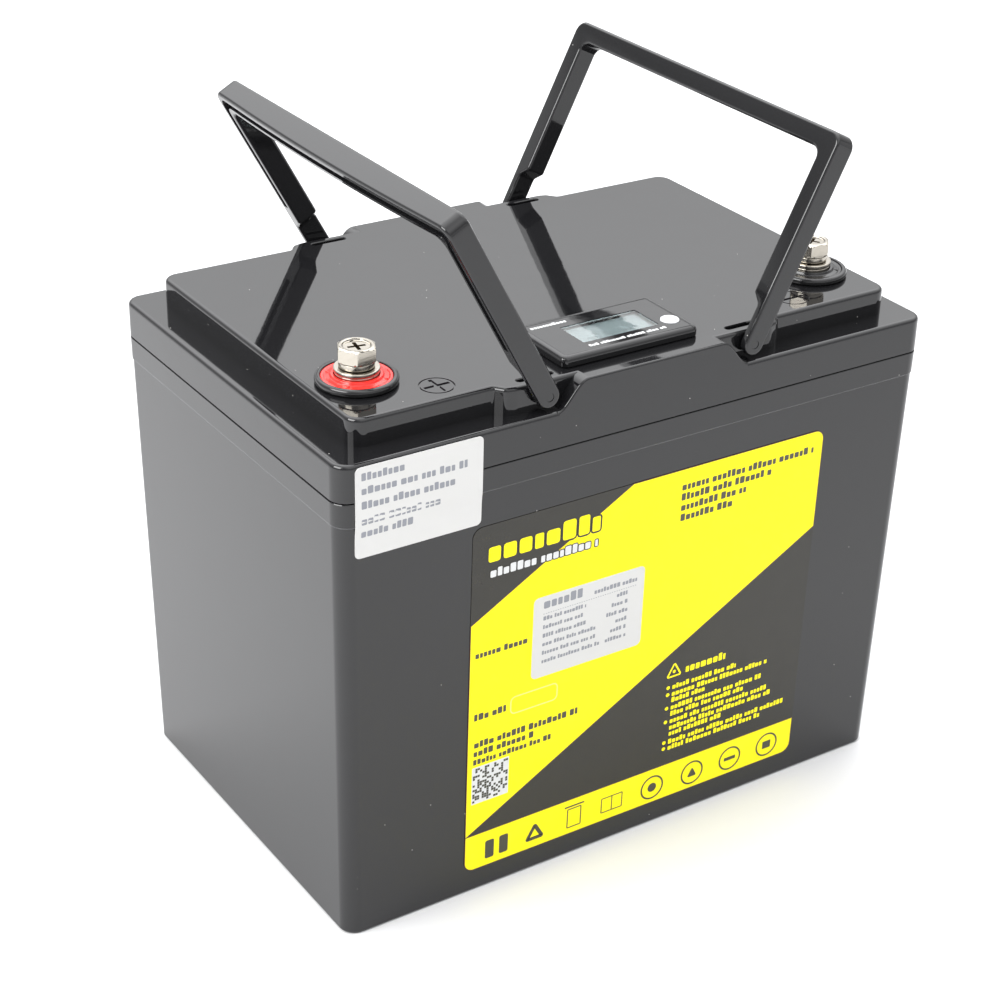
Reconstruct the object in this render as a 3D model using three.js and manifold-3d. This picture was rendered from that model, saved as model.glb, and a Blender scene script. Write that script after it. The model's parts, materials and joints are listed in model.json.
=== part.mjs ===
// 24 V deep cycle battery for caravans: a moulded case with a raised lid, two fold-down bail
// handles, two M8 terminals and a charge display, around a stack of eight lithium cells.
// Millimetres. X runs along the case, -Y is the labelled front, +Z is up.
// The origin is the centre of the underside.
import * as THREE from 'three';
import { mergeVertices } from 'three/addons/utils/BufferGeometryUtils.js';
import Module from 'manifold-3d';

// ---------------------------------------------------------------- driving dimensions
const CASE_LENGTH = 260;
const CASE_WIDTH = 168;
const CASE_TOP = 183.2;
const CASE_CORNER_R = 6.7;
const CASE_DRAFT = 2.4;          // how far each side leans in from the rim to the base
const CASE_STEP_Z = 174;         // the rim band above this height stands proud
const CASE_STEP = 0.35;
const WALL = 3;
const FLOOR = 3.5;

const SEAM_GAP = 0.35;
const LEDGE_Z = 197.66;
const DECK_Z = 208.13;
const EDGE_R = 1.7;              // rounding of the lid's top edges
const END_INSET = 11.2;          // ledge width at the two ends
const SIDE_INSET = 10.5;         // ledge width along front and back
const DECK_CORNER_R = 6;
const LIP_DEPTH = 4.6;           // how far the lid's lip reaches down inside the case
const LIP_CLEARANCE = 0.4;
const LID_WALL = 5;

const PIVOT_X = 45.5;
const PIVOT_Z = 203.7;
const LEFT_REST_ANGLE = 61;      // degrees above the ledge
const RIGHT_REST_ANGLE = 63.5;
const HANDLE_REACH = 82;         // pivot axis to the outside of the grip
const HANDLE_HALF_SPAN = 83;
const HANDLE_THICKNESS = 9;
const LEG_WIDTH = 8;
const GRIP_WIDTH = 7.8;
const GRIP_BELLY = 1.4;          // extra thickness at mid grip
const LEG_END_WIDTH = 3.7;       // the leg is thinner beside the hinge ear
const PIN_R = 1.6;
const PIN_CLEARANCE = 0.3;
const EAR_HALF_WIDTH = 78.3;
const SLIT = { centre: 46, length: 15, y: 73.6, width: 2.2, depth: 9 };

const TERMINAL_X = 101.3;
const TERMINAL_Y = -46.1;
const MARK_X = 79.3;
const MARK_Y = -62.9;

const DISPLAY = { x: -4, y: -57.7, length: 60, width: 33, height: 4.2 };
const WINDOW = { x: -3, y: -57.9, length: 33.4, width: 15.2 };
const BUTTON = { x: 19.6, y: -64.2, r: 3.6 };

const CELL = { thickness: 29.3, width: 135, height: 180, gap: 0.6, count: 8, z: 5.5 };
const POST_Y = 49;
const POST_HEIGHT = 3;
const BUSBAR_THICKNESS = 1.5;
const CONTACT_GAP = 0.3;         // clearance left between pieces that rest on one another
const LABEL_GAP = 0.06;

// ---------------------------------------------------------------- materials
const paint = (color, roughness, metalness = 0) =>
  new THREE.MeshStandardMaterial({ color, roughness, metalness });
const blackAbs = paint(0x161618, 0.12);
const satinBlack = paint(0x1c1c1e, 0.3);
const redPlastic = paint(0xd8231f, 0.25);
const nickel = paint(0xd9d4c8, 0.2, 1);
const steel = paint(0xb8b8b8, 0.3, 1);
const whitePlastic = paint(0xe9eaec, 0.35);
const yellowFilm = paint(0xf2e21a, 0.35);
const paper = paint(0xeeeeee, 0.6);
const glass = paint(0x93a3a3, 0.08);
const circuitBoard = paint(0x1d5b3a, 0.5);
const aluminium = paint(0xc2c5c9, 0.35, 1);
const cellFilm = paint(0x2f6fb5, 0.35);
const foam = paint(0x303236, 0.9);
const cableJacket = paint(0xb01f1c, 0.5);
const blackJacket = paint(0x202022, 0.5);

// ---------------------------------------------------------------- solids
const wasm = await Module();
wasm.setup();

function solid(geometry) {
  const plain = geometry.index ? geometry.toNonIndexed() : geometry.clone();
  for (const name of Object.keys(plain.attributes)) {
    if (name !== 'position') plain.deleteAttribute(name);
  }
  const merged = mergeVertices(plain, 1e-4);
  return new wasm.Manifold(new wasm.Mesh({
    numProp: 3,
    vertProperties: new Float32Array(merged.attributes.position.array),
    triVerts: new Uint32Array(merged.index.array),
  }));
}

function geometryOf(manifold) {
  const { vertProperties, triVerts } = manifold.getMesh();
  const geometry = new THREE.BufferGeometry();
  geometry.setAttribute('position', new THREE.BufferAttribute(vertProperties, 3));
  geometry.setIndex(new THREE.BufferAttribute(triVerts, 1));
  return geometry;
}

const join = (first, ...rest) => rest.reduce((sum, next) => sum.add(next), first);
const cut = (first, ...rest) => rest.reduce((left, next) => left.subtract(next), first);

function mesh(name, shape, material) {
  const geometry = shape.isBufferGeometry ? shape : geometryOf(shape);
  const node = new THREE.Mesh(geometry, material);
  node.name = name;
  return node;
}

// a box given by its centre and size
function box(x, y, z, sizeX, sizeY, sizeZ) {
  return solid(new THREE.BoxGeometry(sizeX, sizeY, sizeZ).translate(x, y, z));
}

// a cylinder standing on z0
function rod(x, y, z0, r, height, sides = 32) {
  const geometry = new THREE.CylinderGeometry(r, r, height, sides);
  return solid(geometry.rotateX(Math.PI / 2).translate(x, y, z0 + height / 2));
}

// a cylinder along Y between two values of y
function crossRod(x, z, r, y0, y1, sides = 20) {
  const geometry = new THREE.CylinderGeometry(r, r, Math.abs(y1 - y0), sides);
  return solid(geometry.translate(x, (y0 + y1) / 2, z));
}

// a body of revolution about a vertical axis, from [radius, height] pairs
function turned(x, y, z, profile, sides = 32) {
  const points = profile.map(([r, h]) => new THREE.Vector2(r, h));
  return solid(new THREE.LatheGeometry(points, sides).rotateX(Math.PI / 2).translate(x, y, z));
}

// an extrusion along Z from an outline of Vector2 points
function extrude(points, z0, height) {
  const geometry = new THREE.ExtrudeGeometry(new THREE.Shape(points), {
    depth: height, bevelEnabled: false, curveSegments: 8,
  });
  return solid(geometry.translate(0, 0, z0));
}

function tube(points, r, sides = 10) {
  const path = new THREE.CatmullRomCurve3(points.map((p) => new THREE.Vector3(...p)));
  const ring = Array.from({ length: sides }, (_, i) => {
    const a = (i / sides) * Math.PI * 2;
    return new THREE.Vector2(r * Math.cos(a), r * Math.sin(a));
  });
  const steps = Math.ceil(path.getLength() / (5 * r));
  return solid(new THREE.ExtrudeGeometry(new THREE.Shape(ring), { steps, extrudePath: path }));
}

// ---------------------------------------------------------------- outlines
function roundedOutline(halfX, halfY, r, segments = 6) {
  const points = [];
  const centres = [[1, 1], [-1, 1], [-1, -1], [1, -1]];
  centres.forEach(([sx, sy], quarter) => {
    for (let i = 0; i <= segments; i += 1) {
      const a = (quarter + i / segments) * (Math.PI / 2);
      points.push(new THREE.Vector2(
        sx * (halfX - r) + r * Math.cos(a),
        sy * (halfY - r) + r * Math.sin(a),
      ));
    }
  });
  return points;
}

// moves every edge of a counter-clockwise outline inwards by the same distance
function inset(points, distance) {
  return points.map((p, i) => {
    const before = points[(i + points.length - 1) % points.length];
    const after = points[(i + 1) % points.length];
    const d1 = p.clone().sub(before).normalize();
    const d2 = after.clone().sub(p).normalize();
    const n1 = new THREE.Vector2(-d1.y, d1.x);
    const n2 = new THREE.Vector2(-d2.y, d2.x);
    const bisector = n1.clone().add(n2).normalize();
    return p.clone().addScaledVector(bisector, distance / bisector.dot(n1));
  });
}

// a closed skin through rings of equal length, each { points, z }
function loft(rings) {
  const size = rings[0].points.length;
  const positions = rings.flatMap(({ points, z }) => points.flatMap((p) => [p.x, p.y, z]));
  const index = [];
  for (let layer = 0; layer + 1 < rings.length; layer += 1) {
    for (let i = 0; i < size; i += 1) {
      const a = layer * size + i;
      const b = layer * size + ((i + 1) % size);
      index.push(a, b, b + size, a, b + size, a + size);
    }
  }
  const top = (rings.length - 1) * size;
  for (const [a, b, c] of THREE.ShapeUtils.triangulateShape(rings[0].points, [])) {
    index.push(a, c, b);
  }
  for (const [a, b, c] of THREE.ShapeUtils.triangulateShape(rings.at(-1).points, [])) {
    index.push(top + a, top + b, top + c);
  }
  const geometry = new THREE.BufferGeometry();
  geometry.setAttribute('position', new THREE.Float32BufferAttribute(positions, 3));
  geometry.setIndex(index);
  return geometry;
}

// an upright prism whose bottom and top edges are rounded to the given radii
function filletedPrism(points, z0, z1, bottomR, topR, steps = 3) {
  const rings = [];
  for (let i = bottomR ? 0 : steps; i <= steps; i += 1) {
    const a = (i / steps) * (Math.PI / 2);
    rings.push({ points: inset(points, bottomR * (1 - Math.sin(a))), z: z0 + bottomR * (1 - Math.cos(a)) });
  }
  for (let i = 0; i <= (topR ? steps : 0); i += 1) {
    const a = (i / steps) * (Math.PI / 2);
    rings.push({ points: inset(points, topR * (1 - Math.cos(a))), z: z1 - topR * (1 - Math.sin(a)) });
  }
  return loft(rings);
}

// ---------------------------------------------------------------- case
// half sizes of the case at a height, before its rim band
function caseHalf(z) {
  const lean = CASE_DRAFT * (1 - z / CASE_TOP);
  return { x: CASE_LENGTH / 2 - lean, y: CASE_WIDTH / 2 - lean };
}

function caseRing(z, insetBy, cornerR = CASE_CORNER_R) {
  const half = caseHalf(z);
  return { points: roundedOutline(half.x - insetBy, half.y - insetBy, cornerR), z };
}

function caseBody() {
  const baseR = 1.2;
  const outside = loft([
    caseRing(0, baseR + CASE_STEP),
    caseRing(baseR * 0.3, baseR * 0.3 + CASE_STEP),
    caseRing(baseR, CASE_STEP),
    caseRing(CASE_STEP_Z - 0.3, CASE_STEP),
    caseRing(CASE_STEP_Z + 0.1, 0),
    caseRing(CASE_TOP, 0),
  ]);
  const insideR = CASE_CORNER_R - WALL;
  const inside = loft([
    caseRing(FLOOR, WALL + CASE_STEP, insideR),
    caseRing(CASE_TOP + 5, WALL, insideR),
  ]);
  return solid(outside).subtract(solid(inside));
}

// ---------------------------------------------------------------- lid
// the raised deck of the two end sections, swelling out into an ear beside each hinge
function deckOutline() {
  const halfX = CASE_LENGTH / 2 - END_INSET;
  const halfY = CASE_WIDTH / 2 - SIDE_INSET;
  const ear = [[63.2, halfY], [60.2, 77.3], [56.5, EAR_HALF_WIDTH]];
  const corner = roundedOutline(halfX, halfY, DECK_CORNER_R).slice(0, 7).map((p) => [p.x, p.y]);
  const quarter = [...corner, ...ear];
  const back = [...quarter, ...quarter.map(([x, y]) => [-x, y]).reverse()];
  const front = back.map(([x, y]) => [-x, -y]);
  return [...back, ...front].map(([x, y]) => new THREE.Vector2(x, y));
}

// the middle section's side view: full height at the centre, down to the ledge in an S at each hinge
function middleProfile(foot) {
  const low = 42.5;
  const high = 29.5;
  const curve = new THREE.Shape();
  curve.moveTo(low, foot);
  curve.lineTo(low, LEDGE_Z);
  curve.bezierCurveTo(low - 4, LEDGE_Z, high + 5, DECK_Z, high, DECK_Z);
  const side = curve.getPoints(8);
  return [...side, ...side.map((p) => new THREE.Vector2(-p.x, p.y)).reverse()];
}

function middleSection() {
  const halfY = CASE_WIDTH / 2;
  const geometry = filletedPrism(middleProfile(LEDGE_Z - 8), -halfY, halfY, EDGE_R, EDGE_R);
  return solid(geometry.rotateX(Math.PI / 2));
}

function polarityRing(x) {
  return rod(x, MARK_Y, DECK_Z - 0.4, 6.5, 1).subtract(rod(x, MARK_Y, DECK_Z - 1, 5.9, 2));
}

function slot(x, y, z0, length, width, height) {
  return extrude(
    roundedOutline(length / 2, width / 2, width / 2 - 0.01, 4).map((p) => p.add(new THREE.Vector2(x, y))),
    z0,
    height,
  );
}

function lid() {
  const bandFoot = CASE_TOP + SEAM_GAP;
  const halfX = CASE_LENGTH / 2;
  const halfY = CASE_WIDTH / 2;
  const rim = roundedOutline(halfX, halfY, CASE_CORNER_R);
  const lipInset = WALL + LIP_CLEARANCE;
  const lip = roundedOutline(halfX - lipInset, halfY - lipInset, CASE_CORNER_R - lipInset);
  const hollow = roundedOutline(halfX - LID_WALL, halfY - LID_WALL, 2);
  const deckHollow = roundedOutline(halfX - END_INSET - WALL, halfY - SIDE_INSET - WALL, 3);
  const shell = join(
    solid(filletedPrism(rim, bandFoot, LEDGE_Z, 0, EDGE_R)),
    solid(filletedPrism(deckOutline(), LEDGE_Z - 5, DECK_Z, 0, EDGE_R)),
    middleSection(),
    extrude(lip, CASE_TOP - LIP_DEPTH, LIP_DEPTH + 2),
  );
  const pockets = [
    extrude(hollow, CASE_TOP - LIP_DEPTH - 1, LEDGE_Z - WALL - CASE_TOP + LIP_DEPTH + 1),
    extrude(deckHollow, CASE_TOP, DECK_Z - WALL - CASE_TOP),
  ];
  const holes = [];
  for (const side of [-1, 1]) {
    holes.push(rod(side * TERMINAL_X, TERMINAL_Y, DECK_Z - 10, 10.9, 20));
    holes.push(polarityRing(side * MARK_X));
    holes.push(box(side * MARK_X, MARK_Y, DECK_Z, 7.6, 1.5, 0.8));
    for (const face of [-1, 1]) {
      const slitZ = DECK_Z - SLIT.depth;
      holes.push(slot(side * SLIT.centre, face * SLIT.y, slitZ, SLIT.length, SLIT.width, 12));
      holes.push(crossRod(side * PIVOT_X, PIVOT_Z, PIN_R + PIN_CLEARANCE, face * 74, face * 80));
    }
  }
  holes.push(box(-MARK_X, MARK_Y, DECK_Z, 1.5, 7.6, 0.8));
  holes.push(box(DISPLAY.x, DISPLAY.y, DECK_Z, DISPLAY.length - 7, DISPLAY.width - 7, 12));
  return cut(shell, ...pockets, ...holes);
}

// ---------------------------------------------------------------- handles
// drawn folded flat: pivot axis at the origin along Y, grip towards +X, upper side +Z
function handle() {
  const inner = HANDLE_HALF_SPAN - LEG_WIDTH;
  const endInner = HANDLE_HALF_SPAN - LEG_END_WIDTH;
  const half = HANDLE_THICKNESS / 2;
  const outline = roundedOutline(HANDLE_REACH, HANDLE_HALF_SPAN, 5);
  const gap = roundedOutline(HANDLE_REACH - GRIP_WIDTH, inner, 4);
  const throat = [[-20, -endInner], [14, -endInner], [17.5, -inner], [30, -inner],
    [30, inner], [17.5, inner], [14, endInner], [-20, endInner]];
  const plan = cut(
    extrude(outline, -half - 3, HANDLE_THICKNESS + 3),
    extrude(gap.map((p) => new THREE.Vector2(Math.max(p.x, 20), p.y)), -20, 40),
    extrude(throat.map(([x, y]) => new THREE.Vector2(x, y)), -20, 40),
  );
  return plan.intersect(sideLimit(half)).intersect(bellyLimit(half));
}

// side view: round pivot end, room for the belly beyond the legs
function sideLimit(half) {
  const side = new THREE.Shape();
  side.absarc(0, 0, half, Math.PI / 2, (Math.PI * 3) / 2);
  side.lineTo(24, -half);
  side.lineTo(24, -half - 3);
  side.lineTo(HANDLE_REACH + 5, -half - 3);
  side.lineTo(HANDLE_REACH + 5, half);
  const width = HANDLE_HALF_SPAN * 2 + 4;
  const geometry = new THREE.ExtrudeGeometry(side, { depth: width, bevelEnabled: false, curveSegments: 12 });
  return solid(geometry.rotateX(Math.PI / 2).translate(0, width / 2, 0));
}

// end view: flat above, bellied below between the legs
function bellyLimit(half) {
  const inner = HANDLE_HALF_SPAN - LEG_WIDTH;
  const steps = 12;
  const belly = Array.from({ length: steps + 1 }, (_, i) => {
    const y = inner * (1 - (2 * i) / steps);
    return new THREE.Vector2(y, -half - GRIP_BELLY * (1 - (y / inner) ** 2));
  });
  const far = HANDLE_HALF_SPAN + 2;
  const outline = [
    new THREE.Vector2(-far, half), new THREE.Vector2(-far, -half),
    ...belly.reverse(),
    new THREE.Vector2(far, -half), new THREE.Vector2(far, half),
  ];
  const depth = HANDLE_REACH + 20;
  const geometry = new THREE.ExtrudeGeometry(new THREE.Shape(outline), { depth, bevelEnabled: false });
  return solid(geometry.rotateX(Math.PI / 2).rotateZ(Math.PI / 2).translate(-10, 0, 0));
}

function handleWithPins(side, restAngle) {
  const swing = new THREE.Group();
  swing.position.set(PIVOT_X, 0, PIVOT_Z);
  swing.rotation.y = THREE.MathUtils.degToRad(-restAngle);
  const half = HANDLE_HALF_SPAN;
  const pinHoles = [-1, 1].map((face) => crossRod(0, 0, PIN_R + PIN_CLEARANCE, face * 70, face * (half + 5)));
  swing.add(mesh(`handle_${side}`, cut(handle(), ...pinHoles), blackAbs));
  const turnedRound = side === 'left';
  for (const face of [-1, 1]) {
    const place = (face < 0) !== turnedRound ? 'front' : 'back';
    const pin = crossRod(0, 0, PIN_R, face * 74.9, face * (half - 0.2));
    swing.add(mesh(`hinge_pin_${side}_${place}`, pin, steel));
  }
  const placed = new THREE.Group();
  placed.rotation.z = turnedRound ? Math.PI : 0;
  placed.add(swing);
  return placed;
}

// ---------------------------------------------------------------- terminals
function terminal(name, x, ringMaterial) {
  const group = new THREE.Group();
  group.position.set(x, TERMINAL_Y, DECK_Z);
  const collar = turned(0, 0, 0, [
    [9.3, -6], [10.6, -6], [10.6, 0.1], [14.7, 0.1], [14.7, 1.9], [14.4, 2.6], [13.7, 2.9],
    [12.9, 2.9], [12.7, 2.6], [12.7, 0.9], [9.3, 0.9], [9.3, -6],
  ]);
  const ring = turned(0, 0, 0, [
    [8.3, 1.2], [12.4, 1.2], [12.4, 2.1], [12.1, 2.4], [9.4, 2.2], [8.3, 2.2], [8.3, 1.2],
  ]);
  const bush = turned(0, 0, 0, [
    [4.3, -9.6], [11.6, -9.6], [11.6, -6.3], [7.9, -6.3], [7.9, 3.3], [7.6, 3.6], [4.3, 3.6], [4.3, -9.6],
  ]);
  group.add(mesh(`${name}_terminal_collar`, collar, satinBlack));
  group.add(mesh(`${name}_ring`, ring, ringMaterial));
  group.add(mesh(`${name}_terminal_bush`, bush, nickel));
  group.add(mesh(`${name}_flat_washer`, flatWasher(), nickel));
  group.add(mesh(`${name}_spring_washer`, springWasher(), nickel));
  group.add(mesh(`${name}_bolt`, bolt(), nickel));
  return group;
}

function flatWasher() {
  const z = 3.62;
  return rod(0, 0, z, 8.2, 1.6).subtract(rod(0, 0, z - 1, 4.4, 4));
}

// split ring that climbs slightly over its turn
function springWasher() {
  const gapAngle = THREE.MathUtils.degToRad(9);
  const shape = new THREE.Shape();
  shape.absarc(0, 0, 6.4, gapAngle, Math.PI * 2 - gapAngle);
  shape.absarc(0, 0, 4.4, Math.PI * 2 - gapAngle, gapAngle, true);
  const geometry = new THREE.ExtrudeGeometry(shape, { depth: 2, bevelEnabled: false, curveSegments: 18 });
  const position = geometry.attributes.position;
  for (let i = 0; i < position.count; i += 1) {
    const turn = Math.atan2(position.getY(i), position.getX(i)) / (Math.PI * 2);
    position.setZ(i, position.getZ(i) + 0.35 * (turn < 0 ? turn + 1 : turn));
  }
  return solid(geometry.translate(0, 0, 5.24));
}

// hexagon head with chamfered corners, dished top and a cross recess
function bolt() {
  const head = new THREE.CylinderGeometry(7.5, 7.5, 5.9, 6).rotateX(Math.PI / 2).rotateZ(0.5);
  const z = 7.8;
  const chamfer = turned(0, 0, 0, [[0, z - 1], [7.2, z - 1], [7.5, z + 0.4], [7.5, z + 4.9], [6.6, z + 5.9], [0, z + 5.9]]);
  const shank = rod(0, 0, -8, 3.9, z + 8.2, 24);
  const hex = solid(head.translate(0, 0, z + 2.95)).intersect(chamfer);
  return cut(
    join(hex, shank),
    rod(0, 0, z + 5.4, 4.9, 2),
    box(0, 0, z + 4.6, 6.4, 1.3, 2.4),
    box(0, 0, z + 4.6, 1.3, 6.4, 2.4),
  );
}

// ---------------------------------------------------------------- display
function displayHousing() {
  const { x, y, length, width, height } = DISPLAY;
  const rim = roundedOutline(length / 2, width / 2, 2.5, 4);
  const skirt = roundedOutline(length / 2 - 4, width / 2 - 4, 1.5, 3);
  const centre = new THREE.Vector3(x, y, DECK_Z);
  const body = join(
    solid(filletedPrism(rim, 0.1, height, 0, 1)),
    extrude(skirt, -4.5, 6),
  ).translate(centre.toArray());
  const wall = 1.6;
  return cut(
    body,
    box(x, y, DECK_Z - 1.2, length - 8 - 2 * wall, width - 8 - 2 * wall, 7.6),
    box(x, y, DECK_Z + height, length - 2.6, width - 2.6, 1),
    box(WINDOW.x, WINDOW.y, DECK_Z + height, WINDOW.length + 0.6, WINDOW.width + 0.6, 8),
    rod(BUTTON.x, BUTTON.y, DECK_Z, BUTTON.r + 0.4, 8),
  );
}

function displayFace() {
  const { x, y, length, width, height } = DISPLAY;
  const faceZ = DECK_Z + height - 0.18;
  return cut(
    box(x, y, faceZ, length - 3, width - 3, 0.3),
    box(WINDOW.x, WINDOW.y, faceZ, WINDOW.length, WINDOW.width, 4),
    rod(BUTTON.x, BUTTON.y, faceZ - 2, BUTTON.r + 0.3, 4),
  );
}

function display() {
  const group = new THREE.Group();
  const top = DECK_Z + DISPLAY.height;
  const windowPane = box(WINDOW.x, WINDOW.y, top - 0.9, WINDOW.length - 0.2, WINDOW.width - 0.2, 1.3);
  const panel = box(WINDOW.x, WINDOW.y, top - 3.2, WINDOW.length - 1, WINDOW.width - 1, 2);
  const boardZ = DECK_Z - 1.4;
  const board = box(DISPLAY.x, DISPLAY.y, boardZ, DISPLAY.length - 12, DISPLAY.width - 12, 1.2);
  const key = join(
    solid(filletedPrism(roundButton(BUTTON.r), top - 2.2, top + 0.45, 0, 0.4, 2)),
    rod(BUTTON.x, BUTTON.y, top - 3, 1.4, 1.5, 16),
  );
  const keySwitch = join(
    box(BUTTON.x - 1.3, BUTTON.y + 0.6, boardZ + 1.3, 3.6, 4.4, 1),
    rod(BUTTON.x, BUTTON.y, boardZ + 1.3, 0.7, 0.7, 12),
  );
  group.add(mesh('display_housing', displayHousing(), blackAbs));
  group.add(mesh('display_face', displayFace(), blackAbs));
  group.add(mesh('display_window', windowPane, glass));
  group.add(mesh('display_panel', panel, glass));
  group.add(mesh('display_board', board, circuitBoard));
  group.add(mesh('display_button', key, whitePlastic));
  group.add(mesh('button_switch', keySwitch, satinBlack));
  return group;
}

function roundButton(r) {
  return Array.from({ length: 28 }, (_, i) => {
    const a = (i / 28) * Math.PI * 2;
    return new THREE.Vector2(BUTTON.x + r * Math.cos(a), BUTTON.y + r * Math.sin(a));
  });
}

// ---------------------------------------------------------------- labels
// a thin film on the leaning front face, between two heights
function frontFilm(name, x0, x1, z0, z1, cornerR, thickness, material, lift = LABEL_GAP) {
  const outline = roundedOutline((x1 - x0) / 2, (z1 - z0) / 2, cornerR, 4);
  const lean = Math.atan(CASE_DRAFT / CASE_TOP);
  const middle = (z0 + z1) / 2;
  const geometry = new THREE.ExtrudeGeometry(new THREE.Shape(outline), { depth: thickness, bevelEnabled: false });
  geometry.rotateX(Math.PI / 2 + lean);
  const faceY = -(caseHalf(middle).y - CASE_STEP);
  geometry.translate((x0 + x1) / 2, faceY - lift, middle);
  return mesh(name, solid(geometry), material);
}

// a thin upright film across the seam, clear of the lid's vertical band
function seamSticker() {
  const outline = roundedOutline(25.2, 17.4, 1.5, 4);
  const geometry = new THREE.ExtrudeGeometry(new THREE.Shape(outline), { depth: 0.2, bevelEnabled: false });
  geometry.rotateX(Math.PI / 2).translate(-98.6, -CASE_WIDTH / 2 - LABEL_GAP, 179.2);
  return mesh('corner_sticker', solid(geometry), paper);
}

// ---------------------------------------------------------------- cell pack
const cellX = (i) => (i - (CELL.count - 1) / 2) * (CELL.thickness + CELL.gap);
const postTop = CELL.z + CELL.height + POST_HEIGHT;

function cell(i) {
  const can = filletedPrism(
    roundedOutline(CELL.thickness / 2, CELL.width / 2, 2, 2), CELL.z, CELL.z + CELL.height, 0, 0.8, 2,
  );
  const posts = [-1, 1].map((side) => box(0, side * POST_Y, postTop - POST_HEIGHT, 16, 20, 2 * POST_HEIGHT));
  const vent = rod(0, 0, CELL.z + CELL.height - 0.5, 5, 1, 12);
  const body = join(solid(can), ...posts, vent).translate([cellX(i), 0, 0]);
  return mesh(`cell_${i + 1}`, body, cellFilm);
}

// flat link with a hump that lets neighbouring cells swell
function busbar(i) {
  const side = i % 2 ? 1 : -1;
  const half = (CELL.thickness + CELL.gap) / 2 + 7;
  const t = BUSBAR_THICKNESS;
  const profile = [[-half, 0], [-4, 0], [-2.5, 1.6], [2.5, 1.6], [4, 0], [half, 0],
    [half, t], [4.6, t], [3.1, 1.6 + t], [-3.1, 1.6 + t], [-4.6, t], [-half, t]];
  const shape = new THREE.Shape(profile.map(([x, z]) => new THREE.Vector2(x, z)));
  const geometry = new THREE.ExtrudeGeometry(shape, { depth: 18, bevelEnabled: false });
  geometry.rotateX(Math.PI / 2);
  geometry.translate((cellX(i) + cellX(i + 1)) / 2, side * POST_Y + 9, postTop + CONTACT_GAP);
  return mesh(`busbar_${i + 1}`, solid(geometry), aluminium);
}

function packStrap(name, z) {
  const outer = roundedOutline(124, 68.8, 3, 4);
  const inner = roundedOutline(123.4, 68.2, 2.4, 4);
  return mesh(name, extrude(outer, z, 16).subtract(extrude(inner, z - 1, 18)), whitePlastic);
}

// a lead with a flat ring lug at each end; the lugs are given by centre and underside
function lead(name, points, r, lugs, material) {
  const plates = lugs.map(([x, y, z, lugR]) => rod(x, y, z, lugR, 1.8, 20));
  return mesh(name, join(tube(points, r), ...plates), material);
}

// flat cell-sensing cable along the cell tops, turned up and back over the control board
function senseRibbon(boardTop) {
  const low = CELL.z + CELL.height + CONTACT_GAP;
  const high = boardTop + CONTACT_GAP;
  const t = 0.9;
  const side = [[-112, low], [97, low], [97, high + t], [62, high + t], [62, high], [97 - t, high],
    [97 - t, low + t], [-112, low + t]];
  const shape = new THREE.Shape(side.map(([x, z]) => new THREE.Vector2(x, z)));
  const geometry = new THREE.ExtrudeGeometry(shape, { depth: 12, bevelEnabled: false });
  return solid(geometry.rotateX(Math.PI / 2).translate(0, 26, 0));
}

function cellPack() {
  const group = new THREE.Group();
  const padX = cellX(CELL.count - 1) + CELL.thickness / 2 + 2.1;
  for (let i = 0; i < CELL.count; i += 1) group.add(cell(i));
  for (let i = 0; i + 1 < CELL.count; i += 1) group.add(busbar(i));
  group.add(mesh('base_pad', box(0, 0, FLOOR + 0.95, 238, 134, 1.5), foam));
  for (const [name, side] of [['left', -1], ['right', 1]]) {
    group.add(mesh(`end_pad_${name}`, box(side * padX, 0, 95, 3.4, 128, 170), foam));
  }
  for (const [name, side] of [['front', -1], ['back', 1]]) {
    group.add(mesh(`side_pad_${name}`, box(0, side * 73, 95, 200, 7.6, 150), foam));
  }
  group.add(packStrap('lower_strap', 40));
  group.add(packStrap('upper_strap', 140));
  return group;
}

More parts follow.
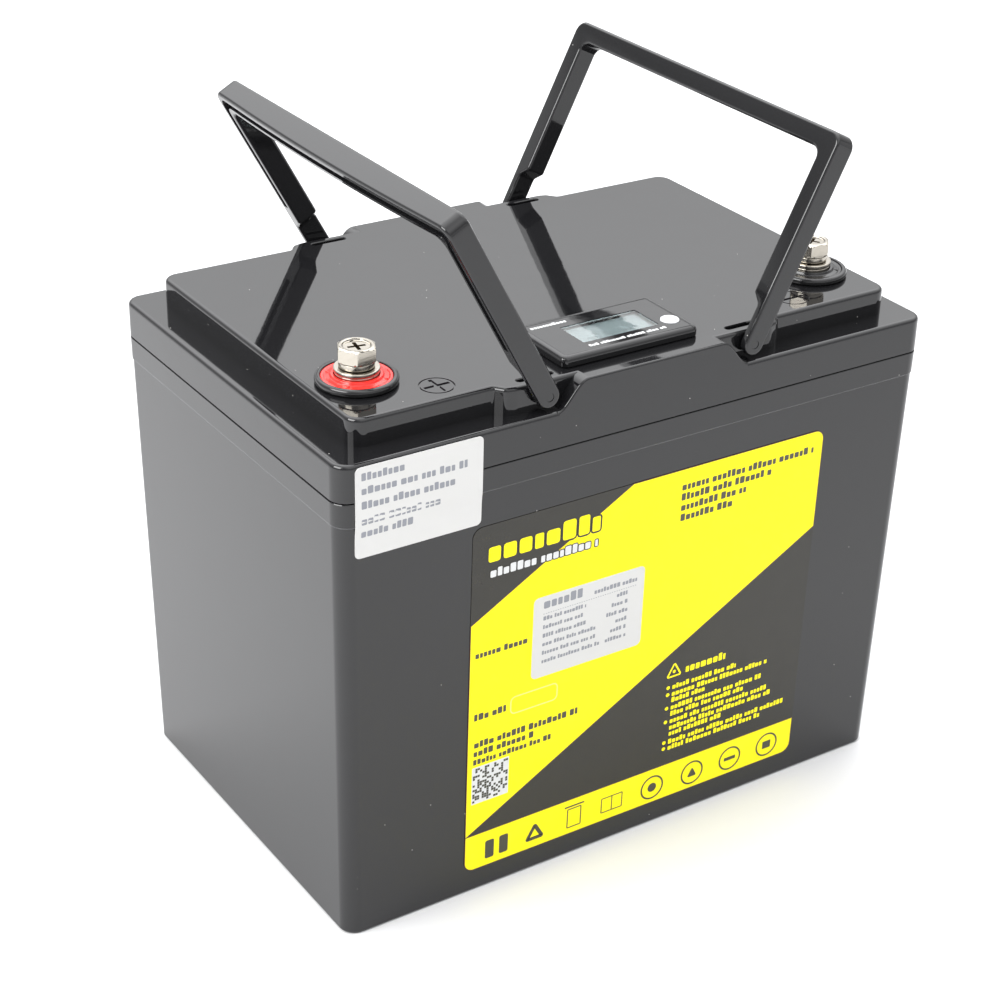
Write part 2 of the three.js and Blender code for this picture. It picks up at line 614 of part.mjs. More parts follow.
function electronics() {
  const group = new THREE.Group();
  const sheetZ = postTop + CONTACT_GAP + BUSBAR_THICKNESS + 2.6;
  const boardZ = sheetZ + 2;
  const boardTop = boardZ + 1.6;
  const chips = [-48, -24, 0, 24, 48].map((x) => box(x, 38, boardZ + 2.4, 14, 10, 2.4));
  const socket = box(-40, -8, boardZ + 3, 32, 8, 4);
  const board = join(box(0, 18, boardZ + 0.8, 140, 78, 1.6), socket, ...chips);
  group.add(mesh('insulation_board', box(0, 0, sheetZ + 0.5, 186, 132, 1), paper));
  group.add(mesh('control_board', board, circuitBoard));
  group.add(mesh('heat_spreader', box(0, 38, boardZ + 5.6, 110, 26, 3), aluminium));
  group.add(mesh('sense_ribbon', senseRibbon(boardTop), blackJacket));

  const endX = cellX(CELL.count - 1);
  const cellLug = postTop + CONTACT_GAP;
  const boardLug = boardTop + CONTACT_GAP;
  const bushLug = DECK_Z - 9.6 - CONTACT_GAP - 1.8;
  group.add(lead('positive_lead', [
    [-endX, 44, cellLug + 2.6], [-endX - 0.5, 32, cellLug + 3.4], [-106.5, 12, 194], [-106.5, -10, 195],
    [-103.5, -30, 195.4], [-TERMINAL_X, -41, 195.5],
  ], 2.6, [[-endX, POST_Y, cellLug, 7], [-TERMINAL_X, TERMINAL_Y, bushLug, 8]], cableJacket));
  group.add(lead('cell_negative_lead', [
    [endX, 53, cellLug + 2.2], [103.5, 60, 193], [93, 62.5, 197], [80, 56, 199.2], [68, 49.5, boardLug + 2.2],
  ], 2.2, [[endX, POST_Y, cellLug, 7], [64, 48, boardLug, 5.5]], blackJacket));
  group.add(lead('output_negative_lead', [
    [67, -10, boardLug + 2.6], [80, -14, 199], [94, -26, 196.8], [100.5, -35, 195.6], [TERMINAL_X, -41, 195.5],
  ], 2.6, [[63, -9, boardLug, 5.5], [TERMINAL_X, TERMINAL_Y, bushLug, 8]], blackJacket));
  const displayLead = tube([
    [-14, -57.7, DECK_Z - 2.5], [-14.3, -57.2, 203.6], [-18, -50, 201.4], [-26, -36, 199.6],
    [-34, -23, 198.6], [-36, -12.3, 198.3],
  ], 1.1, 8);
  group.add(mesh('display_lead', displayLead, blackJacket));
  return group;
}

// ---------------------------------------------------------------- assembly
const battery = new THREE.Group();
battery.add(mesh('case', caseBody(), blackAbs));
battery.add(mesh('lid', lid(), blackAbs));
battery.add(handleWithPins('left', LEFT_REST_ANGLE));
battery.add(handleWithPins('right', RIGHT_REST_ANGLE));
battery.add(terminal('positive', -TERMINAL_X, redPlastic));
battery.add(terminal('negative', TERMINAL_X, satinBlack));
battery.add(display());
battery.add(frontFilm('front_label', -76.6, 83.4, 10, 160.3, 4, 0.2, yellowFilm));
battery.add(frontFilm('data_sticker', -49.5, 0.5, 88.9, 123.8, 2, 0.12, paper, 0.2 + 2 * LABEL_GAP));
battery.add(seamSticker());
battery.add(cellPack());
battery.add(electronics());

export default battery;
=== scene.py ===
"""Deep cycle battery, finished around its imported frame.

A moulded case and lid, two bail handles, bolt terminals, a charge display and printed labels.
The frame is in metres. Sizes inside this file are worked in millimetres and scaled when a mesh
is made.
"""
import json
import math
import random

import bmesh
import bpy
from bpy.props import FloatProperty, FloatVectorProperty, IntProperty, PointerProperty
from bpy.types import Operator, Panel, PropertyGroup
from mathutils import Matrix, Vector


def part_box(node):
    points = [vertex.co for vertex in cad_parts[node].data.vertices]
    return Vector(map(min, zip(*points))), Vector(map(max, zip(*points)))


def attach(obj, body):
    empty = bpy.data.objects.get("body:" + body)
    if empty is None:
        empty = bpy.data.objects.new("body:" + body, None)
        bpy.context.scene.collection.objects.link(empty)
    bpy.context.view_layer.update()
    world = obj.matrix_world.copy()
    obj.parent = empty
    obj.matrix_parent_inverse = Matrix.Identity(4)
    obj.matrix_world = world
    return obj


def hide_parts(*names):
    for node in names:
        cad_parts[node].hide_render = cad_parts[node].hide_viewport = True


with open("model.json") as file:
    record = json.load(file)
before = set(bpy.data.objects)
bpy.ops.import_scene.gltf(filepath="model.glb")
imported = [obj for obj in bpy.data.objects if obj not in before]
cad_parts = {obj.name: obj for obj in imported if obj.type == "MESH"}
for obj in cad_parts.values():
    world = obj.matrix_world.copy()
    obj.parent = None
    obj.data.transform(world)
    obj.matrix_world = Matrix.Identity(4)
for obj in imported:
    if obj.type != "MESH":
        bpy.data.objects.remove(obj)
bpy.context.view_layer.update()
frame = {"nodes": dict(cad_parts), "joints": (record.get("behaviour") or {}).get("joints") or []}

bl_info = {
    "name": "Deep cycle battery",
    "version": (1, 0, 0),
    "blender": (4, 5, 0),
    "location": "View3D > Sidebar > Battery",
    "description": "Builds a caravan battery piece by piece around its packed frame",
    "category": "Add Mesh",
}

MM = 0.001


def node_box(name):
    """A frame node's lowest and highest corners, in millimetres."""
    low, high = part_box(name)
    return low / MM, high / MM


def middle_of(low, high):
    return [(a + b) / 2 for a, b in zip(low, high)]


def half_of(low, high):
    return [(b - a) / 2 for a, b in zip(low, high)]


LID_LOW, LID_HIGH = node_box("lid")
CASE_HIGH = node_box("case")[1]
DISPLAY_LOW, DISPLAY_HIGH = node_box("display_housing")
LABEL_LOW, LABEL_HIGH = node_box("front_label")
DATA_LOW, DATA_HIGH = node_box("data_sticker")
CORNER_LOW, CORNER_HIGH = node_box("corner_sticker")
DECK_Z = LID_HIGH.z
HALF_LENGTH = CASE_HIGH.x
HALF_WIDTH = LID_HIGH.y
JOINTS = {joint["name"]: joint for joint in frame["joints"]}


# ---------------------------------------------------------------- settings
def length(label, text, default):
    return FloatProperty(name=label, description=text, default=default, min=0.0, unit="LENGTH")


def lean(label, text, degrees):
    return FloatProperty(
        name=label, description=text, default=math.radians(degrees), subtype="ANGLE",
    )


def power(label, text, default):
    return FloatProperty(name=label, description=text, default=default, min=0.0, unit="POWER")


def tint(label, text, default):
    return FloatVectorProperty(
        name=label, description=text, default=default, subtype="COLOR", size=3, min=0.0, max=1.0,
    )


def amount(label, text, default, top=1.0):
    return FloatProperty(name=label, description=text, default=default, min=0.0, max=top)


class BatteryShellSettings(PropertyGroup):
    """Sizes of the case and the lid."""

    corner: length("Corner radius", "Radius of the upright corners", 0.0067)
    draft: length("Draft", "How far each side leans in from the rim to the base", 0.0024)
    step: length("Rim step", "How far the rim band stands proud of the walls", 0.00035)
    step_height: length("Rim step height", "Where the rim band starts", 0.174)
    wall: length("Wall", "Thickness of the case walls", 0.003)
    ledge: length("Ledge height", "Height of the ledge that the folded handles lie on", 0.19766)
    end_inset: length("End ledge width", "Width of the ledge at the two ends", 0.0112)
    side_inset: length("Side ledge width", "Width of the ledge along front and back", 0.01047)
    edge: length("Edge radius", "Rounding of the lid's top edges", 0.0017)
    middle_edge: length("Middle edge radius", "Rounding of the middle section's edges", 0.0009)
    engraving: length("Engraving depth", "Depth of the polarity marks", 0.0004)


class BatteryHandleSettings(PropertyGroup):
    """Sizes of the two bail handles."""

    left_lean: lean("Left lean", "Angle of the left handle above the ledge at rest", 61.0)
    right_lean: lean("Right lean", "Angle of the right handle above the ledge at rest", 63.5)
    reach: length("Reach", "Pivot to the outside of the grip", 0.082)
    half_span: length("Half span", "Middle to the outside of a leg", 0.083)
    thickness: length("Thickness", "Thickness of the bail across its plane", 0.009)
    leg: length("Leg width", "Width of each leg", 0.008)
    leg_end: length("Leg end width", "Width of each leg beside its hinge", 0.0037)
    grip: length("Grip width", "Width of the grip", 0.0078)
    belly: length("Grip belly", "Extra thickness of the grip at its middle", 0.0014)
    edge: length("Edge radius", "Rounding of the bail's edges", 0.0012)
    groove: length("Groove depth", "Depth of the groove along the underside", 0.0016)


class BatteryColourSettings(PropertyGroup):
    """Colours of the mouldings and prints."""

    moulding: tint("Moulding", "Polished black plastic", (0.0075, 0.0075, 0.0082))
    satin: tint("Satin moulding", "Collar and trim plastic", (0.009, 0.009, 0.0095))
    red: tint("Red insert", "Insert ring of the positive terminal", (0.78, 0.022, 0.016))
    nickel: tint("Nickel", "Plated terminal hardware", (0.50, 0.465, 0.405))
    yellow: tint("Label yellow", "Yellow fields of the front label", (1.0, 0.88, 0.002))
    print_black: tint("Label black", "Black fields of the front label", (0.016, 0.0145, 0.010))
    paper: tint("Sticker white", "White stickers", (0.60, 0.597, 0.585))
    ink: tint("Sticker ink", "Grey print on the white stickers", (0.23, 0.24, 0.27))
    glass: tint("Display panel", "Unlit display panel", (0.30, 0.36, 0.37))
    cell: tint("Cell film", "Shrink film round each cell", (0.045, 0.17, 0.48))


class BatteryFinishSettings(PropertyGroup):
    """How polished, rippled and dusty the surfaces are."""

    polish: amount("Moulding roughness", "Roughness of the polished plastic", 0.03)
    ripple: amount("Ripple", "Strength of the slow waves left by moulding", 0.05)
    dust: amount("Dust", "How many specks of dust lie on the plastic", 0.30)
    seed: IntProperty(
        name="Seed", description="Seed of the scattered details", default=24, min=0,
    )


class BatteryStudioSettings(PropertyGroup):
    """Floor, light and camera."""

    floor: tint("Floor", "Colour of the floor", (0.71, 0.71, 0.715))
    back_light: amount("Back light", "Brightness of the studio high behind", 4.1, 20.0)
    front_light: amount("Front light", "Share of that brightness in front", 0.47, 20.0)
    horizon: amount("Horizon", "Brightness of the pale band round the horizon", 1.0, 20.0)
    left_power: power("Left light", "Power of the soft light on the left", 18.0)
    top_power: power("Top light", "Power of the soft light above", 3.0)
    lens: FloatProperty(
        name="Lens", description="Focal length on a 36 mm sensor, in millimetres",
        default=79.92, min=10.0,
    )


# ---------------------------------------------------------------- outlines, in millimetres
def rounded(half_x, half_y, radius, segments=8, centre=(0.0, 0.0)):
    """A counter-clockwise rectangle with round corners."""
    points = []
    for quarter, (sx, sy) in enumerate(((1, 1), (-1, 1), (-1, -1), (1, -1))):
        for i in range(segments + 1):
            a = (quarter + i / segments) * math.pi / 2
            points.append((
                centre[0] + sx * (half_x - radius) + radius * math.cos(a),
                centre[1] + sy * (half_y - radius) + radius * math.sin(a),
            ))
    return points


def circle(radius, segments=48, centre=(0.0, 0.0)):
    turns = [2 * math.pi * i / segments for i in range(segments)]
    return [(centre[0] + radius * math.cos(a), centre[1] + radius * math.sin(a)) for a in turns]


def spun(points, angle, centre=(0.0, 0.0)):
    """The points turned about the origin and then moved to the centre."""
    c, s = math.cos(angle), math.sin(angle)
    return [(centre[0] + x * c - y * s, centre[1] + x * s + y * c) for x, y in points]


def round_corners(points, radii, segments=5):
    """The same polygon with each corner replaced by an arc of its radius."""
    made = []
    for i, point in enumerate(points):
        p = Vector(point)
        to_last = (Vector(points[i - 1]) - p).normalized()
        to_next = (Vector(points[(i + 1) % len(points)]) - p).normalized()
        radius = radii[i] if isinstance(radii, (list, tuple)) else radii
        half = to_last.angle(to_next) / 2
        if radius <= 0 or abs(half - math.pi / 2) < 1e-4:
            made.append(tuple(p))
            continue
        centre = p + (to_last + to_next).normalized() * (radius / math.sin(half))
        first = p + to_last * (radius / math.tan(half)) - centre
        last = p + to_next * (radius / math.tan(half)) - centre
        sweep = math.pi - 2 * half
        side = 1.0 if first.x * last.y - first.y * last.x > 0 else -1.0
        for k in range(segments + 1):
            a = side * sweep * k / segments
            made.append((
                centre.x + first.x * math.cos(a) - first.y * math.sin(a),
                centre.y + first.x * math.sin(a) + first.y * math.cos(a),
            ))
    return made


def inset(points, distance):
    """A counter-clockwise outline moved inwards by the same distance everywhere."""
    if abs(distance) < 1e-9:
        return list(points)
    moved = []
    for i, point in enumerate(points):
        p = Vector(point)
        d1 = (p - Vector(points[i - 1])).normalized()
        d2 = (Vector(points[(i + 1) % len(points)]) - p).normalized()
        n1, n2 = Vector((-d1.y, d1.x)), Vector((-d2.y, d2.x))
        bisector = (n1 + n2).normalized()
        moved.append(tuple(p + bisector * (distance / max(bisector.dot(n1), 0.2))))
    return moved


def arc_rise(radius, steps=6):
    """Pairs of inset and rise that turn from a wall into a flat top."""
    turns = [math.pi / 2 * i / steps for i in range(steps + 1)]
    return [(radius * (1 - math.cos(a)), radius * math.sin(a)) for a in turns]


# ---------------------------------------------------------------- solids, in millimetres
# A solid is a pair of lists: its vertices and its faces.
def skin_between(rings, size):
    """The faces between neighbouring rings of the same size."""
    faces = []
    for layer in range(rings - 1):
        for i in range(size):
            a, b = layer * size + i, layer * size + (i + 1) % size
            faces.append((a, b, b + size, a + size))
    return faces


def loft(rings):
    """A closed skin through rings of equal length. Each ring is a list of 3D points."""
    size = len(rings[0])
    vertices = [point for ring in rings for point in ring]
    faces = [tuple(reversed(range(size)))] + skin_between(len(rings), size)
    faces.append(tuple(range((len(rings) - 1) * size, len(rings) * size)))
    return vertices, faces


def as_it_is(x, y, z):
    return x, y, z


def prism(outline, levels, place=as_it_is):
    """A stack of the outline at (inset, height) levels. place(x, y, height) sets each point."""
    return loft([[place(x, y, z) for x, y in inset(outline, step)] for step, z in levels])


def slab(outline, low, high, place=as_it_is):
    return prism(outline, [(0.0, low), (0.0, high)], place)


def edged(outline, low, high, bottom=0.0, top=0.0, steps=5, place=as_it_is):
    """A prism with rounded bottom and top edges."""
    levels, roof = [(0.0, low)], [(0.0, high)]
    if bottom:
        levels = [(i, low + bottom - r) for i, r in reversed(arc_rise(bottom, steps))]
    if top:
        roof = [(i, high - top + r) for i, r in arc_rise(top, steps)]
    return prism(outline, levels + roof, place)


def turned(profile, centre, segments=96):
    """A closed (radius, height) profile turned about an upright axis."""
    size = len(profile)
    vertices, faces = [], []
    for k in range(segments):
        a = 2 * math.pi * k / segments
        x, y = math.cos(a), math.sin(a)
        vertices += [(centre[0] + r * x, centre[1] + r * y, centre[2] + z) for r, z in profile]
        for i in range(size):
            j, nxt = (i + 1) % size, (k + 1) % segments
            faces.append((k * size + i, k * size + j, nxt * size + j, nxt * size + i))
    return vertices, faces


def strip_frame(outline, width, low, high, place=as_it_is):
    """A flat closed band that follows an outline, such as a printed ring."""
    inner = inset(outline, width)
    size = len(outline)
    rings = [[place(x, y, z) for x, y in points]
             for points, z in ((outline, low), (outline, high), (inner, high), (inner, low))]
    vertices = [point for ring in rings for point in ring]
    faces = []
    for layer in range(4):
        for i in range(size):
            a, b = layer * size + i, layer * size + (i + 1) % size
            up = ((layer + 1) % 4 - layer) * size
            faces.append((a, b, b + up, a + up))
    return vertices, faces


def block(x0, x1, y0, y1, z0, z1):
    return slab([(x0, y0), (x1, y0), (x1, y1), (x0, y1)], z0, z1)


def merged(solids):
    vertices, faces = [], []
    for points, polygons in solids:
        base = len(vertices)
        vertices += points
        faces += [tuple(i + base for i in polygon) for polygon in polygons]
    return vertices, faces


# ---------------------------------------------------------------- objects
WELD = 1e-7            # metres: points closer than this are one
CLEAN = 2e-7           # the same after a cut, which leaves slightly looser points
FLAT_PULL = 80         # how strongly large flat faces set the shading


def make_object(name, solid):
    """An object whose mesh is the solid, scaled to metres, with all faces pointing out."""
    vertices, faces = solid
    mesh = bpy.data.meshes.new(name)
    mesh.from_pydata([Vector(v) * MM for v in vertices], [], faces)
    work = bmesh.new()
    work.from_mesh(mesh)
    bmesh.ops.remove_doubles(work, verts=work.verts, dist=WELD)
    bmesh.ops.recalc_face_normals(work, faces=work.faces)
    work.to_mesh(mesh)
    work.free()
    made = bpy.data.objects.new(name, mesh)
    bpy.context.scene.collection.objects.link(made)
    return made


def combine(target, tools, operation):
    """Joins or cuts the target with closed tool solids, which are used up."""
    for solid in tools:
        tool = make_object("tool", solid)
        modifier = target.modifiers.new("combine", "BOOLEAN")
        modifier.operation = operation
        modifier.solver = "MANIFOLD"
        modifier.object = tool
        bpy.context.view_layer.update()
        evaluated = target.evaluated_get(bpy.context.evaluated_depsgraph_get())
        fresh = bpy.data.meshes.new_from_object(evaluated)
        target.modifiers.clear()
        old, target.data = target.data, fresh
        bpy.data.meshes.remove(old)
        bpy.data.objects.remove(tool)


def finish_piece(made, material, body, replaces=(), sharp=32.0):
    """Smooth shading that keeps flats flat, then the finish and the body the piece rides on."""
    mesh = made.data
    work = bmesh.new()
    work.from_mesh(mesh)
    bmesh.ops.remove_doubles(work, verts=work.verts, dist=CLEAN)
    bmesh.ops.dissolve_degenerate(work, edges=work.edges, dist=CLEAN)
    work.to_mesh(mesh)
    work.free()
    mesh.shade_smooth()
    mesh.set_sharp_from_angle(angle=math.radians(sharp))
    weighted = made.modifiers.new("even shading", "WEIGHTED_NORMAL")
    weighted.keep_sharp = True
    weighted.weight = FLAT_PULL
    mesh.materials.clear()
    mesh.materials.append(material)
    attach(made, body)
    if replaces:
        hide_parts(*replaces)


def piece(name, solid, material, body, replaces=()):
    finish_piece(make_object(name, solid), material, body, replaces)


# ---------------------------------------------------------------- shared surface effects
def new_group(name, inputs, outputs):
    group = bpy.data.node_groups.new(name, "ShaderNodeTree")
    for label, kind, default in inputs:
        socket = group.interface.new_socket(name=label, in_out="INPUT", socket_type=kind)
        socket.default_value = default
    for label, kind in outputs:
        group.interface.new_socket(name=label, in_out="OUTPUT", socket_type=kind)
    return group, group.nodes.new("NodeGroupInput"), group.nodes.new("NodeGroupOutput")


def add_node(tree, kind, **settings):
    node = tree.nodes.new(kind)
    for key, value in settings.items():
        if key in node.inputs:
            node.inputs[key].default_value = value
        else:
            setattr(node, key, value)
    return node


def feed(tree, socket, value):
    """Links a node's output to the socket, or sets it to a plain value."""
    if isinstance(value, bpy.types.NodeSocket):
        tree.links.new(value, socket)
    else:
        socket.default_value = value


def math_node(tree, operation, first, second=0.0, clamp=False):
    node = add_node(tree, "ShaderNodeMath", operation=operation, use_clamp=clamp)
    feed(tree, node.inputs[0], first)
    feed(tree, node.inputs[1], second)
    return node.outputs[0]


def colour_mix(tree, share, first, second):
    mix = add_node(tree, "ShaderNodeMix", data_type="RGBA")
    feed(tree, mix.inputs["Factor"], share)
    feed(tree, mix.inputs[6], first)
    feed(tree, mix.inputs[7], second)
    return mix.outputs[2]


def object_place(tree):
    return add_node(tree, "ShaderNodeTexCoord").outputs["Object"]


def noise_at(tree, place, **settings):
    noise = add_node(tree, "ShaderNodeTexNoise", **settings)
    tree.links.new(place, noise.inputs["Vector"])
    return noise.outputs["Fac"]


def scaled_place(tree, scale_socket, stretch=(1.0, 1.0, 1.0)):
    """Object coordinates in metres, stretched and scaled."""
    stretched = add_node(tree, "ShaderNodeVectorMath", operation="MULTIPLY")
    stretched.inputs[1].default_value = stretch
    tree.links.new(object_place(tree), stretched.inputs[0])
    grown = add_node(tree, "ShaderNodeVectorMath", operation="SCALE")
    tree.links.new(stretched.outputs[0], grown.inputs[0])
    tree.links.new(scale_socket, grown.inputs["Scale"])
    return grown.outputs[0]


NUMBER, COLOUR = "NodeSocketFloat", "NodeSocketColor"


def moulding_waves():
    """Slow waves and a faint fine grain, as a height, from cooling in the mould."""
    group, given, result = new_group(
        "Moulding waves",
        [("Scale", NUMBER, 22.0), ("Waves", NUMBER, 0.35), ("Grain", NUMBER, 0.02)],
        [("Height", NUMBER)],
    )
    slow = noise_at(group, scaled_place(group, given.outputs["Scale"]), Detail=1.0, Roughness=0.4)
    fine = noise_at(group, object_place(group), Scale=5200.0, Detail=2.0)
    waves = math_node(group, "MULTIPLY", slow, given.outputs["Waves"])
    grain = math_node(group, "MULTIPLY", fine, given.outputs["Grain"])
    group.links.new(math_node(group, "ADD", waves, grain), result.inputs["Height"])
    return group


def dust_specks():
    """A mask of sparse specks: 1 on a speck and 0 between them."""
    group, given, result = new_group(
        "Dust specks",
        [("Scale", NUMBER, 260.0), ("Amount", NUMBER, 0.3), ("Size", NUMBER, 0.07)],
        [("Mask", NUMBER)],
    )
    edge_sharpness, most_cells = 40.0, 0.3
    cells = add_node(group, "ShaderNodeTexVoronoi", feature="F1", Scale=1.0)
    group.links.new(scaled_place(group, given.outputs["Scale"]), cells.inputs["Vector"])
    near = math_node(group, "SUBTRACT", given.outputs["Size"], cells.outputs["Distance"])
    dot = math_node(group, "MULTIPLY", near, edge_sharpness, clamp=True)
    shade = add_node(group, "ShaderNodeSeparateColor")
    group.links.new(cells.outputs["Color"], shade.inputs[0])
    rare = math_node(group, "MULTIPLY", given.outputs["Amount"], most_cells)
    chosen = math_node(group, "LESS_THAN", shade.outputs[0], rare)
    group.links.new(math_node(group, "MULTIPLY", dot, chosen), result.inputs["Mask"])
    return group


def hairline_marks():
    """A mask of thin straight rub marks, from wiping and handling."""
    group, given, result = new_group(
        "Hairline marks", [("Scale", NUMBER, 90.0), ("Amount", NUMBER, 0.5)], [("Mask", NUMBER)],
    )
    thinness = 60.0
    masks = []
    for stretch in ((1.0, 14.0, 6.0), (11.0, 1.6, 9.0)):
        place = scaled_place(group, given.outputs["Scale"], stretch)
        lines = noise_at(group, place, Scale=1.0, Detail=3.0, Roughness=0.7)
        ridge = math_node(group, "ABSOLUTE", math_node(group, "SUBTRACT", lines, 0.5))
        thin = math_node(group, "SUBTRACT", 1.0, math_node(group, "MULTIPLY", ridge, thinness))
        masks.append(math_node(group, "MULTIPLY", thin, 1.0, clamp=True))
    both = math_node(group, "MAXIMUM", *masks)
    marks = math_node(group, "MULTIPLY", both, given.outputs["Amount"])
    group.links.new(marks, result.inputs["Mask"])
    return group


def uneven_tone():
    """A slow change between two colours, with a little fine mottle."""
    group, given, result = new_group(
        "Uneven tone",
        [("Base", COLOUR, (0.5, 0.5, 0.5, 1.0)), ("Shade", COLOUR, (0.4, 0.4, 0.4, 1.0)),
         ("Scale", NUMBER, 60.0), ("Spread", NUMBER, 0.5)],
        [("Color", COLOUR), ("Tone", NUMBER)],
    )
    place = scaled_place(group, given.outputs["Scale"])
    noise = noise_at(group, place, Scale=1.0, Detail=5.0, Roughness=0.65)
    tone = math_node(group, "MULTIPLY", noise, given.outputs["Spread"], clamp=True)
    colour = colour_mix(group, tone, given.outputs["Base"], given.outputs["Shade"])
    group.links.new(colour, result.inputs["Color"])
    group.links.new(tone, result.inputs["Tone"])
    return group


def tool_marks():
    """Fine lines left by turning or rolling, as a height and a mask."""
    group, given, result = new_group(
        "Tool marks", [("Scale", NUMBER, 900.0)], [("Height", NUMBER), ("Mask", NUMBER)],
    )
    for output, stretch, detail in (
        ("Height", (0.15, 0.15, 3.0), 2.0), ("Mask", (0.3, 0.3, 0.3), 4.0),
    ):
        place = scaled_place(group, given.outputs["Scale"], stretch)
        group.links.new(noise_at(group, place, Scale=1.0, Detail=detail), result.inputs[output])
    return group


EFFECTS = {}


def effect(tree, name, **values):
    """Places a shared effect in a material with its own values. The effect is made on first use."""
    makers = {
        "waves": moulding_waves, "dust": dust_specks, "hairlines": hairline_marks,
        "tone": uneven_tone, "tooling": tool_marks,
    }
    if name not in EFFECTS:
        EFFECTS[name] = makers[name]()
    node = add_node(tree, "ShaderNodeGroup", node_tree=EFFECTS[name])
    for key, value in values.items():
        node.inputs[key].default_value = value
    return node


# ---------------------------------------------------------------- finishes
MATERIALS = {}


def made_once(maker):
    """Makes a finish the first time that its name is asked for, and keeps it for later pieces."""
    def kept(name, *values, **settings):
        if name not in MATERIALS:
            MATERIALS[name] = maker(name, *values, **settings)
        return MATERIALS[name]
    return kept


def start_material(name, **sockets):
    """A named material with a plain Principled shader. Constants go on the shader's own sockets."""
    material = bpy.data.materials.new(name)
    material.use_nodes = True
    shader = material.node_tree.nodes["Principled BSDF"]
    for key, value in sockets.items():
        shader.inputs[key.replace("_", " ")].default_value = value
    return material, material.node_tree, shader


def rgba(colour, gain=1.0):
    return (*[min(1.0, channel * gain) for channel in colour], 1.0)


def tone_between(tree, colour, gain, scale, spread):
    """The uneven tone between a colour and the same colour made lighter or darker."""
    return effect(
        tree, "tone", Base=rgba(colour), Shade=rgba(colour, gain), Scale=scale, Spread=spread,
    )


def spread_over(tree, socket, mask, gain, base):
    """Drives a socket from a mask: the base value, plus the gain where the mask is 1."""
    tree.links.new(math_node(tree, "ADD", math_node(tree, "MULTIPLY", mask, gain), base), socket)


def bump_into(tree, shader, height, distance, strength=1.0):
    bump = add_node(tree, "ShaderNodeBump", Strength=strength, Distance=distance)
    tree.links.new(height, bump.inputs["Height"])
    tree.links.new(bump.outputs[0], shader.inputs["Normal"])


DUST_TINT = (0.35, 0.34, 0.32)
# painted highlight: the pale colour of the line painted along the rim step
STEP_HIGHLIGHT_TINT = (0.11, 0.112, 0.118)


@made_once
def polished_plastic(name, colour, roughness, waves, dust, scale=15.0, grain=0.0004):
    """Injection-moulded plastic: slow waves, faint rub marks and a few specks of dust."""
    material, tree, shader = start_material(name, IOR=1.53)
    tone = tone_between(tree, colour, 1.35, 38.0, 0.8)
    specks = effect(tree, "dust", Amount=dust).outputs["Mask"]
    rubs = effect(tree, "hairlines", Amount=0.5).outputs["Mask"]
    height = effect(tree, "waves", Scale=scale, Waves=waves, Grain=grain).outputs["Height"]
    dusted = colour_mix(tree, specks, tone.outputs["Color"], rgba(DUST_TINT))
    tree.links.new(dusted, shader.inputs["Base Color"])
    rubs_and_painted_highlight = math_node(tree, "MULTIPLY", rubs, 0.05)
    uneven = math_node(tree, "MULTIPLY", tone.outputs["Tone"], 0.02)
    smooth = math_node(tree, "ADD", math_node(tree, "ADD", uneven, roughness), rubs_and_painted_highlight)
    dusty = math_node(tree, "MULTIPLY", specks, 0.5)
    total = math_node(tree, "ADD", smooth, dusty, clamp=True)
    tree.links.new(total, shader.inputs["Roughness"])
    bump_into(tree, shader, height, 0.00045)
    return material


@made_once
def plated_metal(name, colour, roughness, shade=0.72, scale=900.0):
    """Plated or rolled metal with faint tool marks and uneven brightness."""
    material, tree, shader = start_material(name, Metallic=1.0)
    tooling = effect(tree, "tooling", Scale=scale)
    tone = tone_between(tree, colour, shade, 420.0, 0.9)
    tree.links.new(tone.outputs["Color"], shader.inputs["Base Color"])
    spread_over(tree, shader.inputs["Roughness"], tooling.outputs["Mask"], 0.14, roughness)
    bump_into(tree, shader, tooling.outputs["Height"], 0.00002, 0.6)
    return material


@made_once
def printed_film(name, colour, roughness=0.3, shade=0.93, grain=0.01, coat=0.25, gloss=0.5):
    """Printed vinyl: a thin clear face over a colour that is not quite even."""
    material, tree, shader = start_material(name, Coat_Roughness=0.12, Specular_IOR_Level=gloss)
    tone = tone_between(tree, colour, shade, 150.0, 0.9)
    waves = effect(tree, "waves", Scale=40.0, Waves=0.35, Grain=grain)
    rubs = effect(tree, "hairlines", Scale=70.0, Amount=0.35)
    tree.links.new(tone.outputs["Color"], shader.inputs["Base Color"])
    spread_over(tree, shader.inputs["Roughness"], rubs.outputs["Mask"], 0.12, roughness)
    spread_over(tree, shader.inputs["Coat Weight"], tone.outputs["Tone"], 0.1, coat)
    bump_into(tree, shader, waves.outputs["Height"], 0.0001)
    return material


@made_once
def soft_stuff(name, colour, roughness=0.75, shade=0.7, grain=0.15, scale=300.0):
    """Foam, cable jacket, tape and board: mottled, with a fine rough face."""
    material, tree, shader = start_material(name)
    tone = tone_between(tree, colour, shade, scale, 1.0)
    waves = effect(tree, "waves", Scale=scale, Waves=0.3, Grain=grain)
    tree.links.new(tone.outputs["Color"], shader.inputs["Base Color"])
    spread_over(tree, shader.inputs["Roughness"], tone.outputs["Tone"], 0.15, roughness)
    bump_into(tree, shader, waves.outputs["Height"], 0.0003)
    return material


@made_once
def clear_pane(name):
    """Clear acrylic over the display panel."""
    material, tree, shader = start_material(name, IOR=1.49, Transmission_Weight=1.0)
    tone = effect(
        tree, "tone", Base=(0.93, 0.97, 0.97, 1.0), Shade=(0.86, 0.92, 0.92, 1.0),
        Scale=90.0, Spread=0.8,
    )
    rubs = effect(tree, "hairlines", Scale=140.0, Amount=0.4)
    waves = effect(tree, "waves", Scale=30.0, Waves=0.06, Grain=0.0)
    tree.links.new(tone.outputs["Color"], shader.inputs["Base Color"])
    spread_over(tree, shader.inputs["Roughness"], rubs.outputs["Mask"], 0.06, 0.02)
    bump_into(tree, shader, waves.outputs["Height"], 0.0006)
    return material


